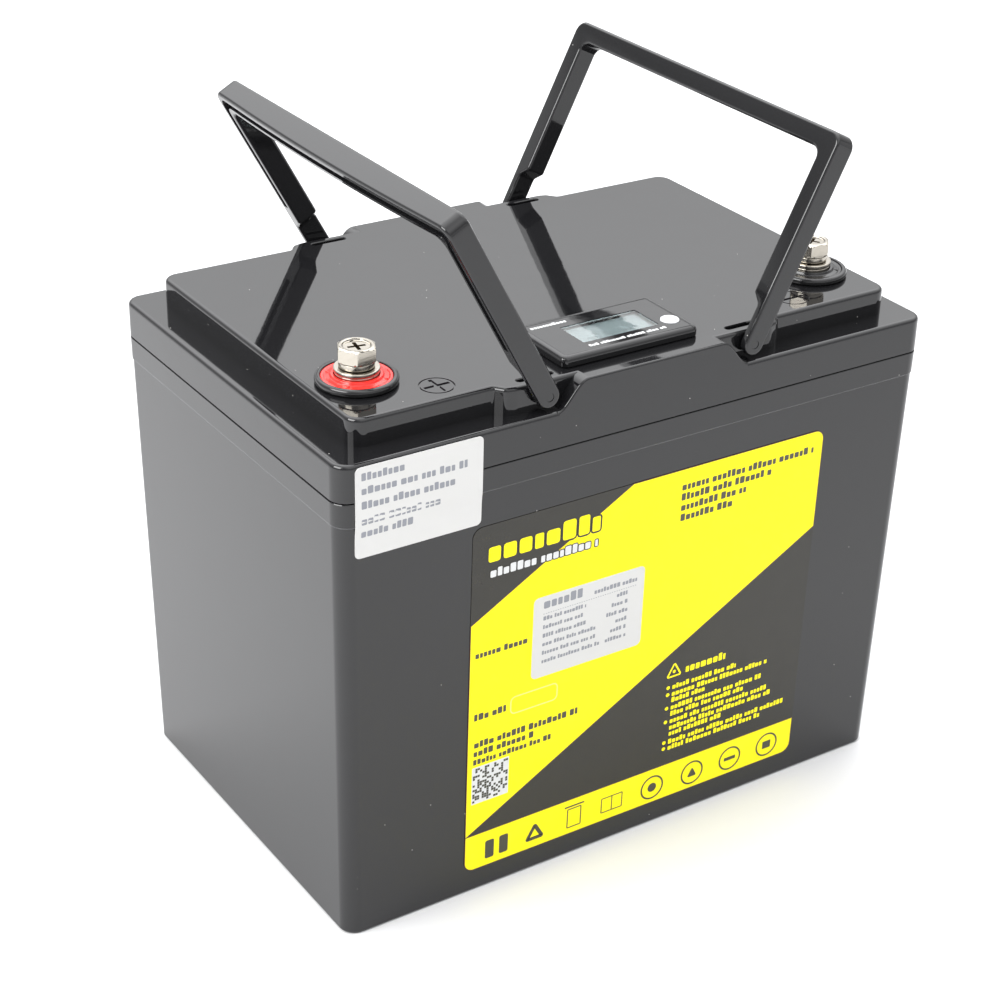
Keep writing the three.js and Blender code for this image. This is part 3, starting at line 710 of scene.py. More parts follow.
def moulding_finish(name, settings):
    """The black plastic of the large mouldings, under its own name."""
    finish = settings.battery_finish
    colour = settings.battery_colours.moulding
    return polished_plastic(name, colour, finish.polish, finish.ripple, finish.dust)


def case_plastic():
    """The moulding's plastic, with a painted highlight on the thin edge where the rim band starts.
    """
    scene = bpy.context.scene
    step, step_height = scene.battery_shell.step, scene.battery_shell.step_height
    material = moulding_finish("Wall plastic", scene)
    tree = material.node_tree
    colour_socket = tree.nodes["Principled BSDF"].inputs["Base Color"]
    plain = colour_socket.links[0].from_socket
    place = add_node(tree, "ShaderNodeSeparateXYZ")
    tree.links.new(object_place(tree), place.inputs[0])
    # painted highlight: a thin pale line painted into the colour at the rim step, broken up by
    # noise
    off = math_node(tree, "SUBTRACT", place.outputs[2], step_height + step * 0.4)
    away = math_node(tree, "MULTIPLY", math_node(tree, "ABSOLUTE", off), 1 / (step * 0.95))
    near = math_node(tree, "SUBTRACT", 1.0, away, clamp=True)
    highlight_breakup_noise = noise_at(tree, object_place(tree), Scale=45.0, Detail=4.0)
    highlight_strength = math_node(tree, "MULTIPLY", highlight_breakup_noise, 1.7, clamp=True)
    rubs_and_painted_highlight = math_node(tree, "MULTIPLY", near, highlight_strength)
    tree.links.new(colour_mix(tree, rubs_and_painted_highlight, plain, rgba(STEP_HIGHLIGHT_TINT)), colour_socket)
    return material


def black_plastic():
    return moulding_finish("Polished black plastic", bpy.context.scene)


def satin_plastic():
    scene = bpy.context.scene
    return polished_plastic(
        "Satin black plastic", scene.battery_colours.satin, 0.13, 0.2, scene.battery_finish.dust,
        grain=0.006,
    )


def nickel():
    return plated_metal("Bright nickel plate", bpy.context.scene.battery_colours.nickel, 0.10)


def sticker_paper():
    colours = bpy.context.scene.battery_colours
    return printed_film("White sticker", colours.paper, 0.42, 0.96, 0.02, 0.1)


def grey_ink():
    return printed_film("Grey ink", bpy.context.scene.battery_colours.ink, 0.45)


def white_print():
    return printed_film("White print", (0.66, 0.67, 0.67), 0.4)


def dark_ink():
    return printed_film("Dark ink", (0.03, 0.028, 0.012), 0.3)


# ---------------------------------------------------------------- case and lid
SEAM_GAP = 0.35                # between the case and the lid
FOOT_RADIUS = 1.2              # rounding of the case's bottom edge
CASE_FLOOR = 3.5
LID_WALL = 5.0
LIP_GAP = 0.4                  # between the lid's lip and the case wall
DECK_CORNER = 6.0              # radius of the deck's four corners
EAR_START = (63.2, 1.6)        # where the deck starts to swell into an ear, and its radius
EAR = (((60.2, 77.3), 3.0), ((56.5, 78.3), 6.0))
MIDDLE_AT_LEDGE, MIDDLE_AT_DECK = 42.5, 29.5
MIDDLE_BENDS = (4.2, 5.2)      # how far the S runs level at its foot and at its top
WELL_RADIUS = 10.9             # the hole in the deck under a terminal
MARK_WAY = (22.0, 16.8)        # from a terminal to its polarity mark
MARK_RING, MARK_RING_WIDTH = 6.5, 0.62
MARK_ARM, MARK_ARM_HALF_WIDTH = 5.1, 0.75
SLIT_PLACE, SLIT_HALF = (46.0, 73.6), (7.5, 1.25)
DISPLAY_WELL = 3.5             # from the display's rim to its opening in the deck


def case_half(z):
    """Half sizes of the case at a height, at the rim band's own faces."""
    shell = bpy.context.scene.battery_shell
    lean_in = shell.draft / MM * (1 - z / CASE_HIGH.z)
    return HALF_LENGTH - lean_in, HALF_WIDTH - lean_in


def case_solid():
    """One skin: up the outside, over the rim and down the inside to the floor."""
    shell = bpy.context.scene.battery_shell
    corner, step, wall = shell.corner / MM, shell.step / MM, shell.wall / MM
    step_z, top = shell.step_height / MM, CASE_HIGH.z
    foot = FOOT_RADIUS
    outer = [(step + foot - foot * math.sin(a), foot - foot * math.cos(a))
             for a in [math.pi / 12 * i for i in range(7)]]
    outer += [(step * (1 - math.cos(a)), step_z + step * (1 - math.sin(a)))
              for a in [math.pi / 8 * i for i in range(4, -1, -1)]]
    outer += [(0.0, top - 0.25), (0.2, top)]
    inner = [(wall - 0.2, top), (wall, top - 0.25), (wall + step, step_z - 3.0),
             (wall + step, CASE_FLOOR)]

    def ring(distance, z, radius):
        half_x, half_y = case_half(z)
        return [(x, y, z) for x, y in rounded(half_x - distance, half_y - distance, radius, 12)]

    rings = [ring(distance, z, corner - min(distance, foot)) for distance, z in outer]
    rings += [ring(distance, z, corner - wall) for distance, z in inner]
    return loft(rings)


def deck_outline():
    """The raised deck seen from above, with an ear swelling out beside each hinge."""
    shell = bpy.context.scene.battery_shell
    x = HALF_LENGTH - shell.end_inset / MM
    y = HALF_WIDTH - shell.side_inset / MM
    quarter = [((x, y), DECK_CORNER), ((EAR_START[0], y), EAR_START[1]), *EAR]
    mirrored = [((-px, py), radius) for (px, py), radius in reversed(quarter)]
    back = quarter + mirrored
    front = [((-px, -py), radius) for (px, py), radius in back]
    points, radii = zip(*(back + front))
    return round_corners(list(points), list(radii), 8)


def middle_profile(foot):
    """The middle section from the front: full height, then down to the ledge in an S."""
    ledge = bpy.context.scene.battery_shell.ledge / MM
    low, high = MIDDLE_AT_LEDGE, MIDDLE_AT_DECK
    a, b = Vector((low, ledge)), Vector((low - MIDDLE_BENDS[0], ledge))
    c, d = Vector((high + MIDDLE_BENDS[1], DECK_Z)), Vector((high, DECK_Z))
    steps = 24
    side = [(low, foot)]
    for i in range(steps + 1):
        t = i / steps
        p = a * (1 - t) ** 3 + b * 3 * t * (1 - t) ** 2 + c * 3 * t * t * (1 - t) + d * t ** 3
        side.append((p.x, p.y))
    return side + [(-x, z) for x, z in reversed(side)]


def terminal_cuts(side, terminal):
    """The well under a terminal, its polarity mark, and the slits behind the nearby hinge ears."""
    depth = bpy.context.scene.battery_shell.engraving / MM
    x, y, _ = middle_of(*node_box(f"{terminal}_terminal_collar"))
    mark = (x - side * MARK_WAY[0], y - MARK_WAY[1])
    engraved = (DECK_Z - depth, DECK_Z + 1.0)
    arm, half = MARK_ARM, MARK_ARM_HALF_WIDTH
    cuts = [
        slab(circle(WELL_RADIUS, 64, (x, y)), DECK_Z - 10.0, DECK_Z + 5.0),
        strip_frame(circle(MARK_RING, 72, mark), MARK_RING_WIDTH, *engraved),
        slab(rounded(arm, half, 0.3, 3, mark), *engraved),
    ]
    if terminal == "positive":
        cuts.append(slab(rounded(half, arm, 0.3, 3, mark), *engraved))
    slit_levels = [(0.0, DECK_Z - 9.0), (0.0, DECK_Z - 0.35), (-0.35, DECK_Z + 0.01),
                   (-0.35, DECK_Z + 3.0)]
    for face in (-1, 1):
        place = (side * SLIT_PLACE[0], face * SLIT_PLACE[1])
        cuts.append(prism(rounded(*SLIT_HALF, SLIT_HALF[1] - 0.01, 8, place), slit_levels))
    return cuts


def build_lid():
    """The rim band, deck and middle section joined, then hollowed and cut."""
    shell = bpy.context.scene.battery_shell
    ledge, edge, brow = shell.ledge / MM, shell.edge / MM, shell.middle_edge / MM
    corner, wall = shell.corner / MM, shell.wall / MM
    seam = CASE_HIGH.z + SEAM_GAP
    rim = rounded(HALF_LENGTH, HALF_WIDTH, corner, 12)
    band = [(0.3, seam), (0.0, seam + 0.25)]
    band += [(i, ledge - edge + r) for i, r in arc_rise(edge, 7)]
    lid = make_object("lid_moulding", prism(rim, band))

    def upright(x, z, y):
        return x, -y, z

    deck = edged(deck_outline(), ledge - 4.0, DECK_Z, 0.0, edge, 7)
    middle = edged(
        middle_profile(ledge - 8.0), -HALF_WIDTH, HALF_WIDTH, brow, brow, 6, upright,
    )
    lip_inset = wall + LIP_GAP
    lip = slab(rounded(HALF_LENGTH - lip_inset, HALF_WIDTH - lip_inset, corner - lip_inset),
               LID_LOW.z, seam + 2.0)
    combine(lid, [deck, middle, lip], "UNION")

    deck_hollow = rounded(
        HALF_LENGTH - shell.end_inset / MM - wall, HALF_WIDTH - shell.side_inset / MM - wall, 3.0,
    )
    tools = [
        slab(rounded(HALF_LENGTH - LID_WALL, HALF_WIDTH - LID_WALL, 2.0),
             LID_LOW.z - 1.0, ledge - wall),
        slab(deck_hollow, seam, DECK_Z - wall),
    ]
    tools += terminal_cuts(-1, "positive") + terminal_cuts(1, "negative")
    tools.append(block(
        DISPLAY_LOW.x + DISPLAY_WELL, DISPLAY_HIGH.x - DISPLAY_WELL,
        DISPLAY_LOW.y + DISPLAY_WELL, DISPLAY_HIGH.y - DISPLAY_WELL, DECK_Z - 6.0, DECK_Z + 6.0,
    ))
    combine(lid, tools, "DIFFERENCE")
    finish_piece(lid, black_plastic(), "battery", ["lid"])


# ---------------------------------------------------------------- handles
# Along a bail, sizes run outwards from the pivot; across it, from its middle to a leg.
WAIST = (8.0, 14.0, 17.5, 25.0)        # where the thin leg end starts and turns into the full leg
WAIST_RADII = [0, 2.2, 1.6, 0]
LEG_STATIONS = (34.0, 46.0, 58.0)
OUTER_BEND, INNER_BEND = 5.0, 4.0      # radii of the corner between leg and grip
GRIP_SHARES = (0.9, 0.78, 0.66, 0.54, 0.42, 0.3, 0.18, 0.08, 0.0)
PIN_HOLE = 1.65
GROOVE_START = 24.0
GROOVE_SIDES = (0.30, 0.68)            # where the groove runs between the inside and the outside
GROOVE_SLOPE = 0.08


def bail_stations():
    """Half of the bail in its own plane, from the pivot to the middle of the grip. A station is
    its inner point, inner normal, outer point and outer normal."""
    sizes = bpy.context.scene.battery_handle
    reach, span = sizes.reach / MM, sizes.half_span / MM
    thin, thick = span - sizes.leg_end / MM, span - sizes.leg / MM
    inside = reach - sizes.grip / MM
    across, along = Vector((0.0, 1.0)), Vector((1.0, 0.0))
    made = [(Vector((0.0, thin)), across, Vector((0.0, span)), across)]
    waist = round_corners(list(zip(WAIST, (thin, thin, thick, thick))), WAIST_RADII, 4)
    for i, (d, y) in enumerate(waist):
        before, after = waist[max(i - 1, 0)], waist[min(i + 1, len(waist) - 1)]
        run = (Vector(after) - Vector(before)).normalized()
        made.append((Vector((d, y)), Vector((-run.y, run.x)), Vector((d, span)), across))
    for d in LEG_STATIONS:
        made.append((Vector((d, thick)), across, Vector((d, span)), across))
    outer_centre = Vector((reach - OUTER_BEND, span - OUTER_BEND))
    inner_centre = Vector((inside - INNER_BEND, thick - INNER_BEND))
    for i in range(13):
        a = math.pi / 2 * (1 - i / 12)
        normal = Vector((math.cos(a), math.sin(a)))
        made.append((inner_centre + normal * INNER_BEND, normal,
                     outer_centre + normal * OUTER_BEND, normal))
    for share in GRIP_SHARES:
        made.append((Vector((inside, (thick - INNER_BEND) * share)), along,
                     Vector((reach, (span - OUTER_BEND) * share)), along))
    return made


def underside(y):
    """How far the bail's underside is from its middle plane, at a distance from its middle."""
    sizes = bpy.context.scene.battery_handle
    inner_y = (sizes.half_span - sizes.leg) / MM
    return sizes.thickness / 2 / MM + sizes.belly / MM * max(0.0, 1 - (y / inner_y) ** 2)


def both_halves(ring, stations):
    """Rings along one half of the bail and back along the other."""
    rings = [ring(*station, 1.0) for station in stations]
    return rings + [ring(*station, -1.0) for station in reversed(stations[:-1])]


def pivot_end(vertices, base, size):
    """Turns the upper strip of an end ring round the pivot onto its lower strip."""
    strip, steps = size // 2, 16
    first = list(range(base, base + strip))
    columns = [first]
    for k in range(1, steps):
        a = math.pi * k / steps
        columns.append(list(range(len(vertices), len(vertices) + strip)))
        for index in first:
            _, y, n = vertices[index]
            vertices.append((-n * math.sin(a), y, n * math.cos(a)))
    columns.append(list(range(base + size - 1, base + strip - 1, -1)))
    faces = []
    for left, right in zip(columns, columns[1:]):
        for i in range(strip - 1):
            faces.append((left[i], left[i + 1], right[i + 1], right[i]))
    faces.append(tuple(column[0] for column in columns))
    faces.append(tuple(column[-1] for column in reversed(columns)))
    return faces


def bail_solid(to_frame):
    """The whole bail as one skin with rounded edges and half-round pivot ends."""
    sizes = bpy.context.scene.battery_handle
    half, edge = sizes.thickness / 2 / MM, sizes.edge / MM
    steps = 5
    turns = [math.pi / 2 * k / steps for k in range(steps + 1)]

    def ring(inner, inner_normal, outer, outer_normal, mirror):
        outside, inside = (outer, outer_normal, -1.0), (inner, inner_normal, 1.0)
        points = []
        for first, second, upper in ((outside, inside, True), (inside, outside, False)):
            for (base, normal, sign), angles in ((first, turns), (second, turns[::-1])):
                depth = half if upper else underside(base.y)
                for a in angles:
                    p = base + normal * (sign * edge * (1 - math.cos(a)))
                    n = depth - edge + edge * math.sin(a)
                    points.append((p.x, p.y * mirror, n if upper else -n))
        return points

    rings = both_halves(ring, bail_stations())
    size = len(rings[0])
    vertices = [p for one in rings for p in one]
    faces = skin_between(len(rings), size)
    for base in (0, (len(rings) - 1) * size):
        faces += pivot_end(vertices, base, size)
    return [to_frame(*p) for p in vertices], faces


def channel_solid(to_frame):
    """The groove moulded along the underside of the bail."""
    depth = bpy.context.scene.battery_handle.groove / MM
    runs = [
        (inner.lerp(outer, GROOVE_SIDES[0]), inner.lerp(outer, GROOVE_SIDES[1]))
        for inner, _, outer, _ in bail_stations() if max(inner.x, outer.x) >= GROOVE_START
    ]

    def ring(near, far, mirror):
        face = underside(near.y)
        points = [
            (near, face + 1.0), (far, face + 1.0), (far, face),
            (far.lerp(near, GROOVE_SLOPE), face - depth),
            (near.lerp(far, GROOVE_SLOPE), face - depth), (near, face),
        ]
        return [to_frame(p.x, p.y * mirror, -n) for p, n in points]

    return loft(both_halves(ring, runs))


def build_handle(side, joint_name, angle):
    """side is -1 for the left handle and 1 for the right one."""
    half_span = bpy.context.scene.battery_handle.half_span / MM
    pivot = Vector(JOINTS[joint_name]["pos_m"]) / MM
    reach_way = Vector((side * math.cos(angle), 0.0, math.sin(angle)))
    upper_way = Vector((-side * math.sin(angle), 0.0, math.cos(angle)))

    def to_frame(d, y, n):
        return tuple(pivot + reach_way * d + upper_way * n + Vector((0.0, y, 0.0)))

    word = "left" if side < 0 else "right"
    bail = make_object(f"bail_{word}", bail_solid(to_frame))
    tools = []
    for face in (-1, 1):
        ends = (face * (half_span - 9.0), face * (half_span + 2.0))
        tools.append(loft([[to_frame(x, y, z) for x, z in circle(PIN_HOLE, 40)] for y in ends]))
    tools.append(channel_solid(to_frame))
    combine(bail, tools, "DIFFERENCE")
    finish_piece(bail, black_plastic(), f"{word}_bail", [f"handle_{word}"])


# ---------------------------------------------------------------- terminals
# Turned profiles as (radius, height above the deck), each with the radii of its corners.
COLLAR = (
    [(9.3, -6.0), (10.6, -6.0), (10.6, 0.1), (14.7, 0.1), (14.7, 2.9), (12.7, 2.9), (12.7, 0.9),
     (9.3, 0.9)],
    [0.2, 0.2, 0.1, 0.9, 1.35, 0.5, 0.2, 0.2], 7,
)
INSERT_RING = (
    [(8.1, 1.2), (12.6, 1.2), (12.6, 2.45), (11.7, 2.45), (11.1, 2.15), (9.5, 2.45), (9.1, 3.35),
     (8.1, 3.45)],
    [0.1, 0.1, 0.3, 0.25, 0.3, 0.4, 0.2, 0.15], 5,
)
BUSH = (
    [(4.3, -9.6), (11.6, -9.6), (11.6, -6.3), (7.9, -6.3), (7.9, 4.2), (4.3, 4.2)],
    [0.2, 0.3, 0.3, 0.3, 0.35, 0.2], 4,
)
WASHER = ([(4.4, 4.25), (8.2, 4.25), (8.2, 5.85), (4.4, 5.85)], [0.1, 0.3, 0.4, 0.1], 5)
SPLIT_SECTION = ([(4.4, 0.0), (6.4, 0.0), (6.4, 2.0), (4.4, 2.0)], 0.25, 3)
SPLIT_FOOT, SPLIT_CLIMB = 5.9, 0.33
SPLIT_START, SPLIT_SWEEP = 8, 344      # degrees
RAISED_MARK_AT = 10.4                  # distance of the insert's small raised marks from its middle
HEAD_FOOT, HEAD_TOP, HALF_FLATS = 8.35, 13.85, 6.5
# The shank, the chamfered head and its dished top, as (largest radius, height above the deck).
BOLT_LEVELS = (
    (3.9, -7.6), (3.9, HEAD_FOOT), (6.4, HEAD_FOOT), (6.9, HEAD_FOOT + 0.15),
    (7.45, HEAD_FOOT + 0.45), (9.0, HEAD_FOOT + 0.9), (9.0, HEAD_TOP - 1.15),
    (7.4, HEAD_TOP - 0.75), (6.9, HEAD_TOP - 0.4), (6.35, HEAD_TOP - 0.12), (5.9, HEAD_TOP),
    (5.3, HEAD_TOP), (5.05, HEAD_TOP - 0.12), (4.85, HEAD_TOP - 0.55), (4.6, HEAD_TOP - 0.7),
)
CROSS_ARM, CROSS_HALF_WIDTH = 3.3, 0.68
CROSS_TURN = 0.4                       # between the cross recess and the hexagon


def spring_washer(centre):
    """A split ring that climbs a little over its turn."""
    section = round_corners(*SPLIT_SECTION)
    steps = 72
    rings = []
    for k in range(steps + 1):
        a = math.radians(SPLIT_START + SPLIT_SWEEP * k / steps)
        rise = SPLIT_FOOT + SPLIT_CLIMB * k / steps
        rings.append([
            (centre[0] + r * math.cos(a), centre[1] + r * math.sin(a), centre[2] + rise + z)
            for r, z in section
        ])
    return loft(rings)


def bolt_solid(centre, turn):
    """A hexagon head with chamfered corners, a dished top and a shank below."""
    steps = 120
    rings = []
    for limit, z in BOLT_LEVELS:
        ring = []
        for k in range(steps):
            a = 2 * math.pi * k / steps
            off = (a + turn) % (math.pi / 3) - math.pi / 6
            r = min(limit, HALF_FLATS / math.cos(off))
            ring.append((centre[0] + r * math.cos(a), centre[1] + r * math.sin(a), centre[2] + z))
        rings.append(ring)
    return loft(rings)


def cross_recess(centre, turn):
    """The cross-shaped recess in the bolt head, a little narrower at its bottom."""
    arm, half = CROSS_ARM, CROSS_HALF_WIDTH
    cross = []
    for k in range(4):
        cross += spun([(arm, -half), (arm, half), (half, half)], k * math.pi / 2)
    outline = spun(round_corners(cross, 0.22, 3), turn + CROSS_TURN, centre)
    top = DECK_Z + HEAD_TOP - 0.7
    return prism(outline, [(0.25, top - 2.2), (0.12, top - 1.2), (0.0, top), (0.0, top + 2.0)])


def raised_marks(name, centre):
    """Four small marks on the insert ring: crosses on the positive one, bars on the negative."""
    bars = ((0.7, 0.2), (0.2, 0.7)) if name == "positive" else ((0.7, 0.2),)
    marks = []
    for k in range(4):
        a = math.pi / 4 + k * math.pi / 2
        spot = Vector((centre[0] + RAISED_MARK_AT * math.cos(a),
                       centre[1] + RAISED_MARK_AT * math.sin(a)))
        for half_x, half_y in bars:
            outline = spun(rounded(half_x, half_y, 0.15, 3), a, spot)
            marks.append(edged(outline, DECK_Z + 1.95, DECK_Z + 2.5, 0.0, 0.1, 2))
    return marks


def build_terminal(name, insert_material, turn):
    """Everything at one terminal, from its collar to its bolt."""
    x, y, _ = middle_of(*node_box(f"{name}_terminal_collar"))
    centre = (x, y, DECK_Z)

    def turned_piece(part, profile, material, node):
        solid = turned(round_corners(*profile), centre)
        piece(f"{name}_{part}", solid, material, "battery", [f"{name}_{node}"])

    turned_piece("collar", COLLAR, satin_plastic(), "terminal_collar")
    insert = make_object(f"{name}_insert", turned(round_corners(*INSERT_RING), centre))
    combine(insert, raised_marks(name, centre), "UNION")
    finish_piece(insert, insert_material, "battery", [f"{name}_ring"])
    turned_piece("bush", BUSH, nickel(), "terminal_bush")
    turned_piece("washer", WASHER, nickel(), "flat_washer")
    piece(f"{name}_split_washer", spring_washer(centre), nickel(), "battery",
          [f"{name}_spring_washer"])
    bolt = make_object(f"{name}_hex_bolt", bolt_solid(centre, turn))
    combine(bolt, [cross_recess(centre, turn)], "DIFFERENCE")
    finish_piece(bolt, nickel(), "battery", [f"{name}_bolt"], sharp=28.0)


# ---------------------------------------------------------------- charge display
HOUSING_CORNER, HOUSING_ROLL = 3.0, 2.1
FILM_THICKNESS, FILM_SINK = 0.24, 0.12   # the film lies a little below the housing's top
CAP_FOOT, CAP_ROLL = 2.2, 0.5
PRINT_FACES = (-0.118, -0.09)            # print on the film, from the housing's top
KEY_PRINT_FACES = (0.32, 0.43)


def display_housing(hx, hy, centre, window, half_w, half_h, button, button_radius):
    """The rolled housing with its sleeve through the deck and its openings."""
    top, bottom = DISPLAY_HIGH.z, DISPLAY_LOW.z
    levels = [(0.5, DECK_Z + 0.1), (0.1, DECK_Z + 0.45), (0.0, DECK_Z + 0.9)]
    levels += [(i, top - 2.2 + r * 1.05) for i, r in arc_rise(HOUSING_ROLL, 9)]
    levels += [(2.35, top), (2.45, top - 0.06), (2.45, top - 0.4)]
    outline = rounded(hx, hy, HOUSING_CORNER, 8, centre)
    housing = make_object("display_frame", prism(outline, levels))

    def well(distance, low, high):
        return block(DISPLAY_LOW.x + distance, DISPLAY_HIGH.x - distance,
                     DISPLAY_LOW.y + distance, DISPLAY_HIGH.y - distance, low, high)

    wx, wy, gap = *window, 0.3
    combine(housing, [well(4.0, bottom, DECK_Z + 1.0)], "UNION")
    combine(housing, [
        well(5.6, bottom - 1.0, top - 1.6),
        block(wx - half_w - gap, wx + half_w + gap, wy - half_h - gap, wy + half_h + gap,
              top - 3.0, top + 1.0),
        slab(circle(button_radius + 0.4, 48, button), DECK_Z, top + 1.0),
    ], "DIFFERENCE")
    return housing


def build_display():
    """The housing with its film, pane, unlit panel, button and print."""
    colours = bpy.context.scene.battery_colours
    top = DISPLAY_HIGH.z
    centre = middle_of(DISPLAY_LOW, DISPLAY_HIGH)[:2]
    hx, hy = half_of(DISPLAY_LOW, DISPLAY_HIGH)[:2]
    window_low, window_high = node_box("display_window")
    window = middle_of(window_low, window_high)[:2]
    half_w, half_h = [half + 0.1 for half in half_of(window_low, window_high)[:2]]
    button_low, button_high = node_box("display_button")
    button, radius = middle_of(button_low, button_high)[:2], half_of(button_low, button_high)[0]

    housing = display_housing(hx, hy, centre, window, half_w, half_h, button, radius)
    finish_piece(housing, black_plastic(), "battery", ["display_housing"])

    film_top = top - FILM_SINK
    film_outline = rounded(hx - 2.55, hy - 2.55, 0.5, 4, centre)
    film = make_object(
        "display_film", edged(film_outline, film_top - FILM_THICKNESS, film_top, 0.0, 0.05, 2),
    )
    combine(film, [
        slab(rounded(half_w, half_h, 0.5, 4, window), top - 2.0, top + 1.0),
        slab(circle(radius + 0.18, 48, button), top - 2.0, top + 1.0),
    ], "DIFFERENCE")
    film_finish = polished_plastic("Display film", colours.moulding, 0.045, 0.07, 0.15, scale=30.0)
    finish_piece(film, film_finish, "battery", ["display_face"])

    pane = rounded(half_w - 0.1, half_h - 0.1, 0.4, 4, window)
    piece("display_pane", edged(pane, top - 1.55, top - 0.3, 0.0, 0.08, 2),
          clear_pane("Clear acrylic"), "battery", ["display_window"])
    panel = rounded(half_w - 0.6, half_h - 0.6, 0.3, 3, window)
    piece("display_glass", edged(panel, top - 3.9, top - 2.3, 0.0, 0.1, 2),
          soft_stuff("Unlit display panel", colours.glass, 0.16, 0.72, 0.002, 45.0),
          "battery", ["display_panel"])

    cap_levels = [(0.0, top - CAP_FOOT), (0.0, top - 0.1)]
    cap_levels += [(i, top - 0.1 + r * 0.9) for i, r in arc_rise(CAP_ROLL, 6)]
    cap_levels += [(1.2, top + 0.39), (2.2, top + 0.43)]
    cap = make_object("display_key", prism(circle(radius, 64, button), cap_levels))
    combine(cap, [slab(circle(1.4, 32, button), button_low.z, top - 1.5)], "UNION")
    white = polished_plastic("White plastic", (0.68, 0.69, 0.71), 0.24, 0.2, 0.0, grain=0.004)
    finish_piece(cap, white, "check_button", ["display_button"])
    bend = [(math.radians(a), r)
            for r, angles in ((2.5, range(200, 345, 8)), (2.05, range(344, 199, -8)))
            for a in angles]
    arc = [(button[0] + r * math.cos(a), button[1] + r * math.sin(a)) for a, r in bend]
    piece("key_print", slab(arc, *[top + face for face in KEY_PRINT_FACES]), grey_ink(),
          "check_button")

    rng = random.Random(bpy.context.scene.battery_finish.seed)
    faces = [top + face for face in PRINT_FACES]
    x0, y0, y1 = DISPLAY_LOW.x, DISPLAY_LOW.y, DISPLAY_HIGH.y
    prints = greek_line(x0 + 4.2, x0 + 20.4, y1 - 6.0, 1.9, rng, as_it_is, *faces, one_word=True)
    start, end = window[0] - half_w + 0.2, button[0] - 4.8
    prints += greek_line(start, end, y0 + 4.6, 1.7, rng, as_it_is, *faces)
    piece("display_print", merged(prints), white_print(), "battery")


# ---------------------------------------------------------------- labels
# A film's heights are measured from the wall that it lies on.
BASE_FACES = (0.06, 0.24)                # the front label's film
FIELD_FACES = (0.24, 0.26)               # its yellow fields
MARK_FACES = (0.26, 0.275)               # its print
CARD_FACES, CARD_PRINT_FACES = (0.29, 0.42), (0.42, 0.435)
CORNER_CARD, CORNER_PRINT_FACES = 0.18, (0.18, 0.195)
LETTER_GAP, WORD_GAP, WORD_LENGTHS = 0.16, 0.42, (3, 8)
TITLE, SUBTITLE = (-69.8, -21.5, 145.0, 8.0), (-68.8, -22.2, 138.6, 3.6)
TITLE_SEED, SUBTITLE_SEED = 5, 6
# Lines of blocks on the front label: start, end, base and height.
DARK_LINES = (
    (15.5, 78.9, 151.3, 3.0), (15.5, 58.5, 147.0, 3.0), (15.6, 47.3, 142.6, 3.0),
    (15.7, 41.5, 138.2, 3.0), (-74.2, -51.0, 106.0, 2.6), (-74.0, -60.1, 78.8, 2.9),
    (-73.7, -27.3, 66.6, 2.8), (-73.8, -47.2, 62.7, 2.8), (-73.9, -38.3, 59.0, 2.4),
)
YELLOW_HEADING = (24.3, 44.0, 68.1, 3.5)
YELLOW_LINE_START, YELLOW_LINE_HEIGHT = 18.3, 2.3
YELLOW_LINES = (                         # the end and the base of each line
    (49.9, 62.2), (66.8, 58.9), (36.2, 56.0), (64.1, 52.5), (54.8, 49.5), (67.7, 46.0),
    (69.9, 42.9), (46.0, 40.0), (77.0, 36.1), (65.4, 33.2),
)
BULLET_X, BULLET_HEIGHTS = 16.2, (63.4, 60.1, 53.7, 47.2, 37.3, 34.4)
ICON_PLACES, ICON_Z = (-62.2, -44.6, -26.1, -8.0, 11.8, 31.9, 51.3, 70.6), 17.4
PATTERN_CENTRE, PATTERN_SIZE, PATTERN_CELLS = (-66.1, 49.4), 15.6, 15


def on_front(x, z, lift):
    """A point on the leaning front wall, lifted off it."""
    step = bpy.context.scene.battery_shell.step / MM
    return x, -(case_half(z)[1] - step) - lift, z


def greek_line(x0, x1, base, height, rng, place, low, high, one_word=False, grow=0.0):
    """A line of plain blocks that stands for text: groups of short bars with word gaps."""
    made = []
    x = x0
    until_gap = math.inf if one_word else rng.randint(*WORD_LENGTHS)
    while x < x1 - height * 0.3:
        width = height * rng.uniform(0.46, 0.74)
        tall = height if rng.random() < 0.4 else height * 0.76
        right = min(x + width, x1)
        corner = min(right - x, tall) * 0.18
        middle = ((x + right) / 2, base + tall / 2)
        outline = rounded((right - x) / 2 + grow, tall / 2 + grow, corner + grow, 2, middle)
        made.append(slab(outline, low, high, place))
        x = right + height * LETTER_GAP
        until_gap -= 1
        if until_gap <= 0:
            x += height * WORD_GAP
            until_gap = rng.randint(*WORD_LENGTHS)
    return made


def on_label(name, solids, material, replaces=()):
    """One piece of the front label, from all the solids of one colour."""
    piece(name, merged(solids), material, "battery", replaces)


def label_fields(x0, x1, z0, z1):
    """The slanted yellow band and the yellow foot, as outlines."""
    edge, foot_top, corner = 0.25, z0 + 16.2, 4.0
    band = [(x0 + edge, z0 + 16.6), (x1 - edge, z1 - 42.7), (x1 - edge, z1 - edge),
            (x1 - 90.6, z1 - edge), (x0 + edge, z1 - 39.8)]
    foot = [(x0 + edge, z0 + edge), (x1 - edge, z0 + edge), (x1 - edge, foot_top),
            (x0 + edge, foot_top)]
    return [round_corners(band, [0, 0, corner, 0, 0], 8),
            round_corners(foot, [corner, corner, 0, 0], 8)]


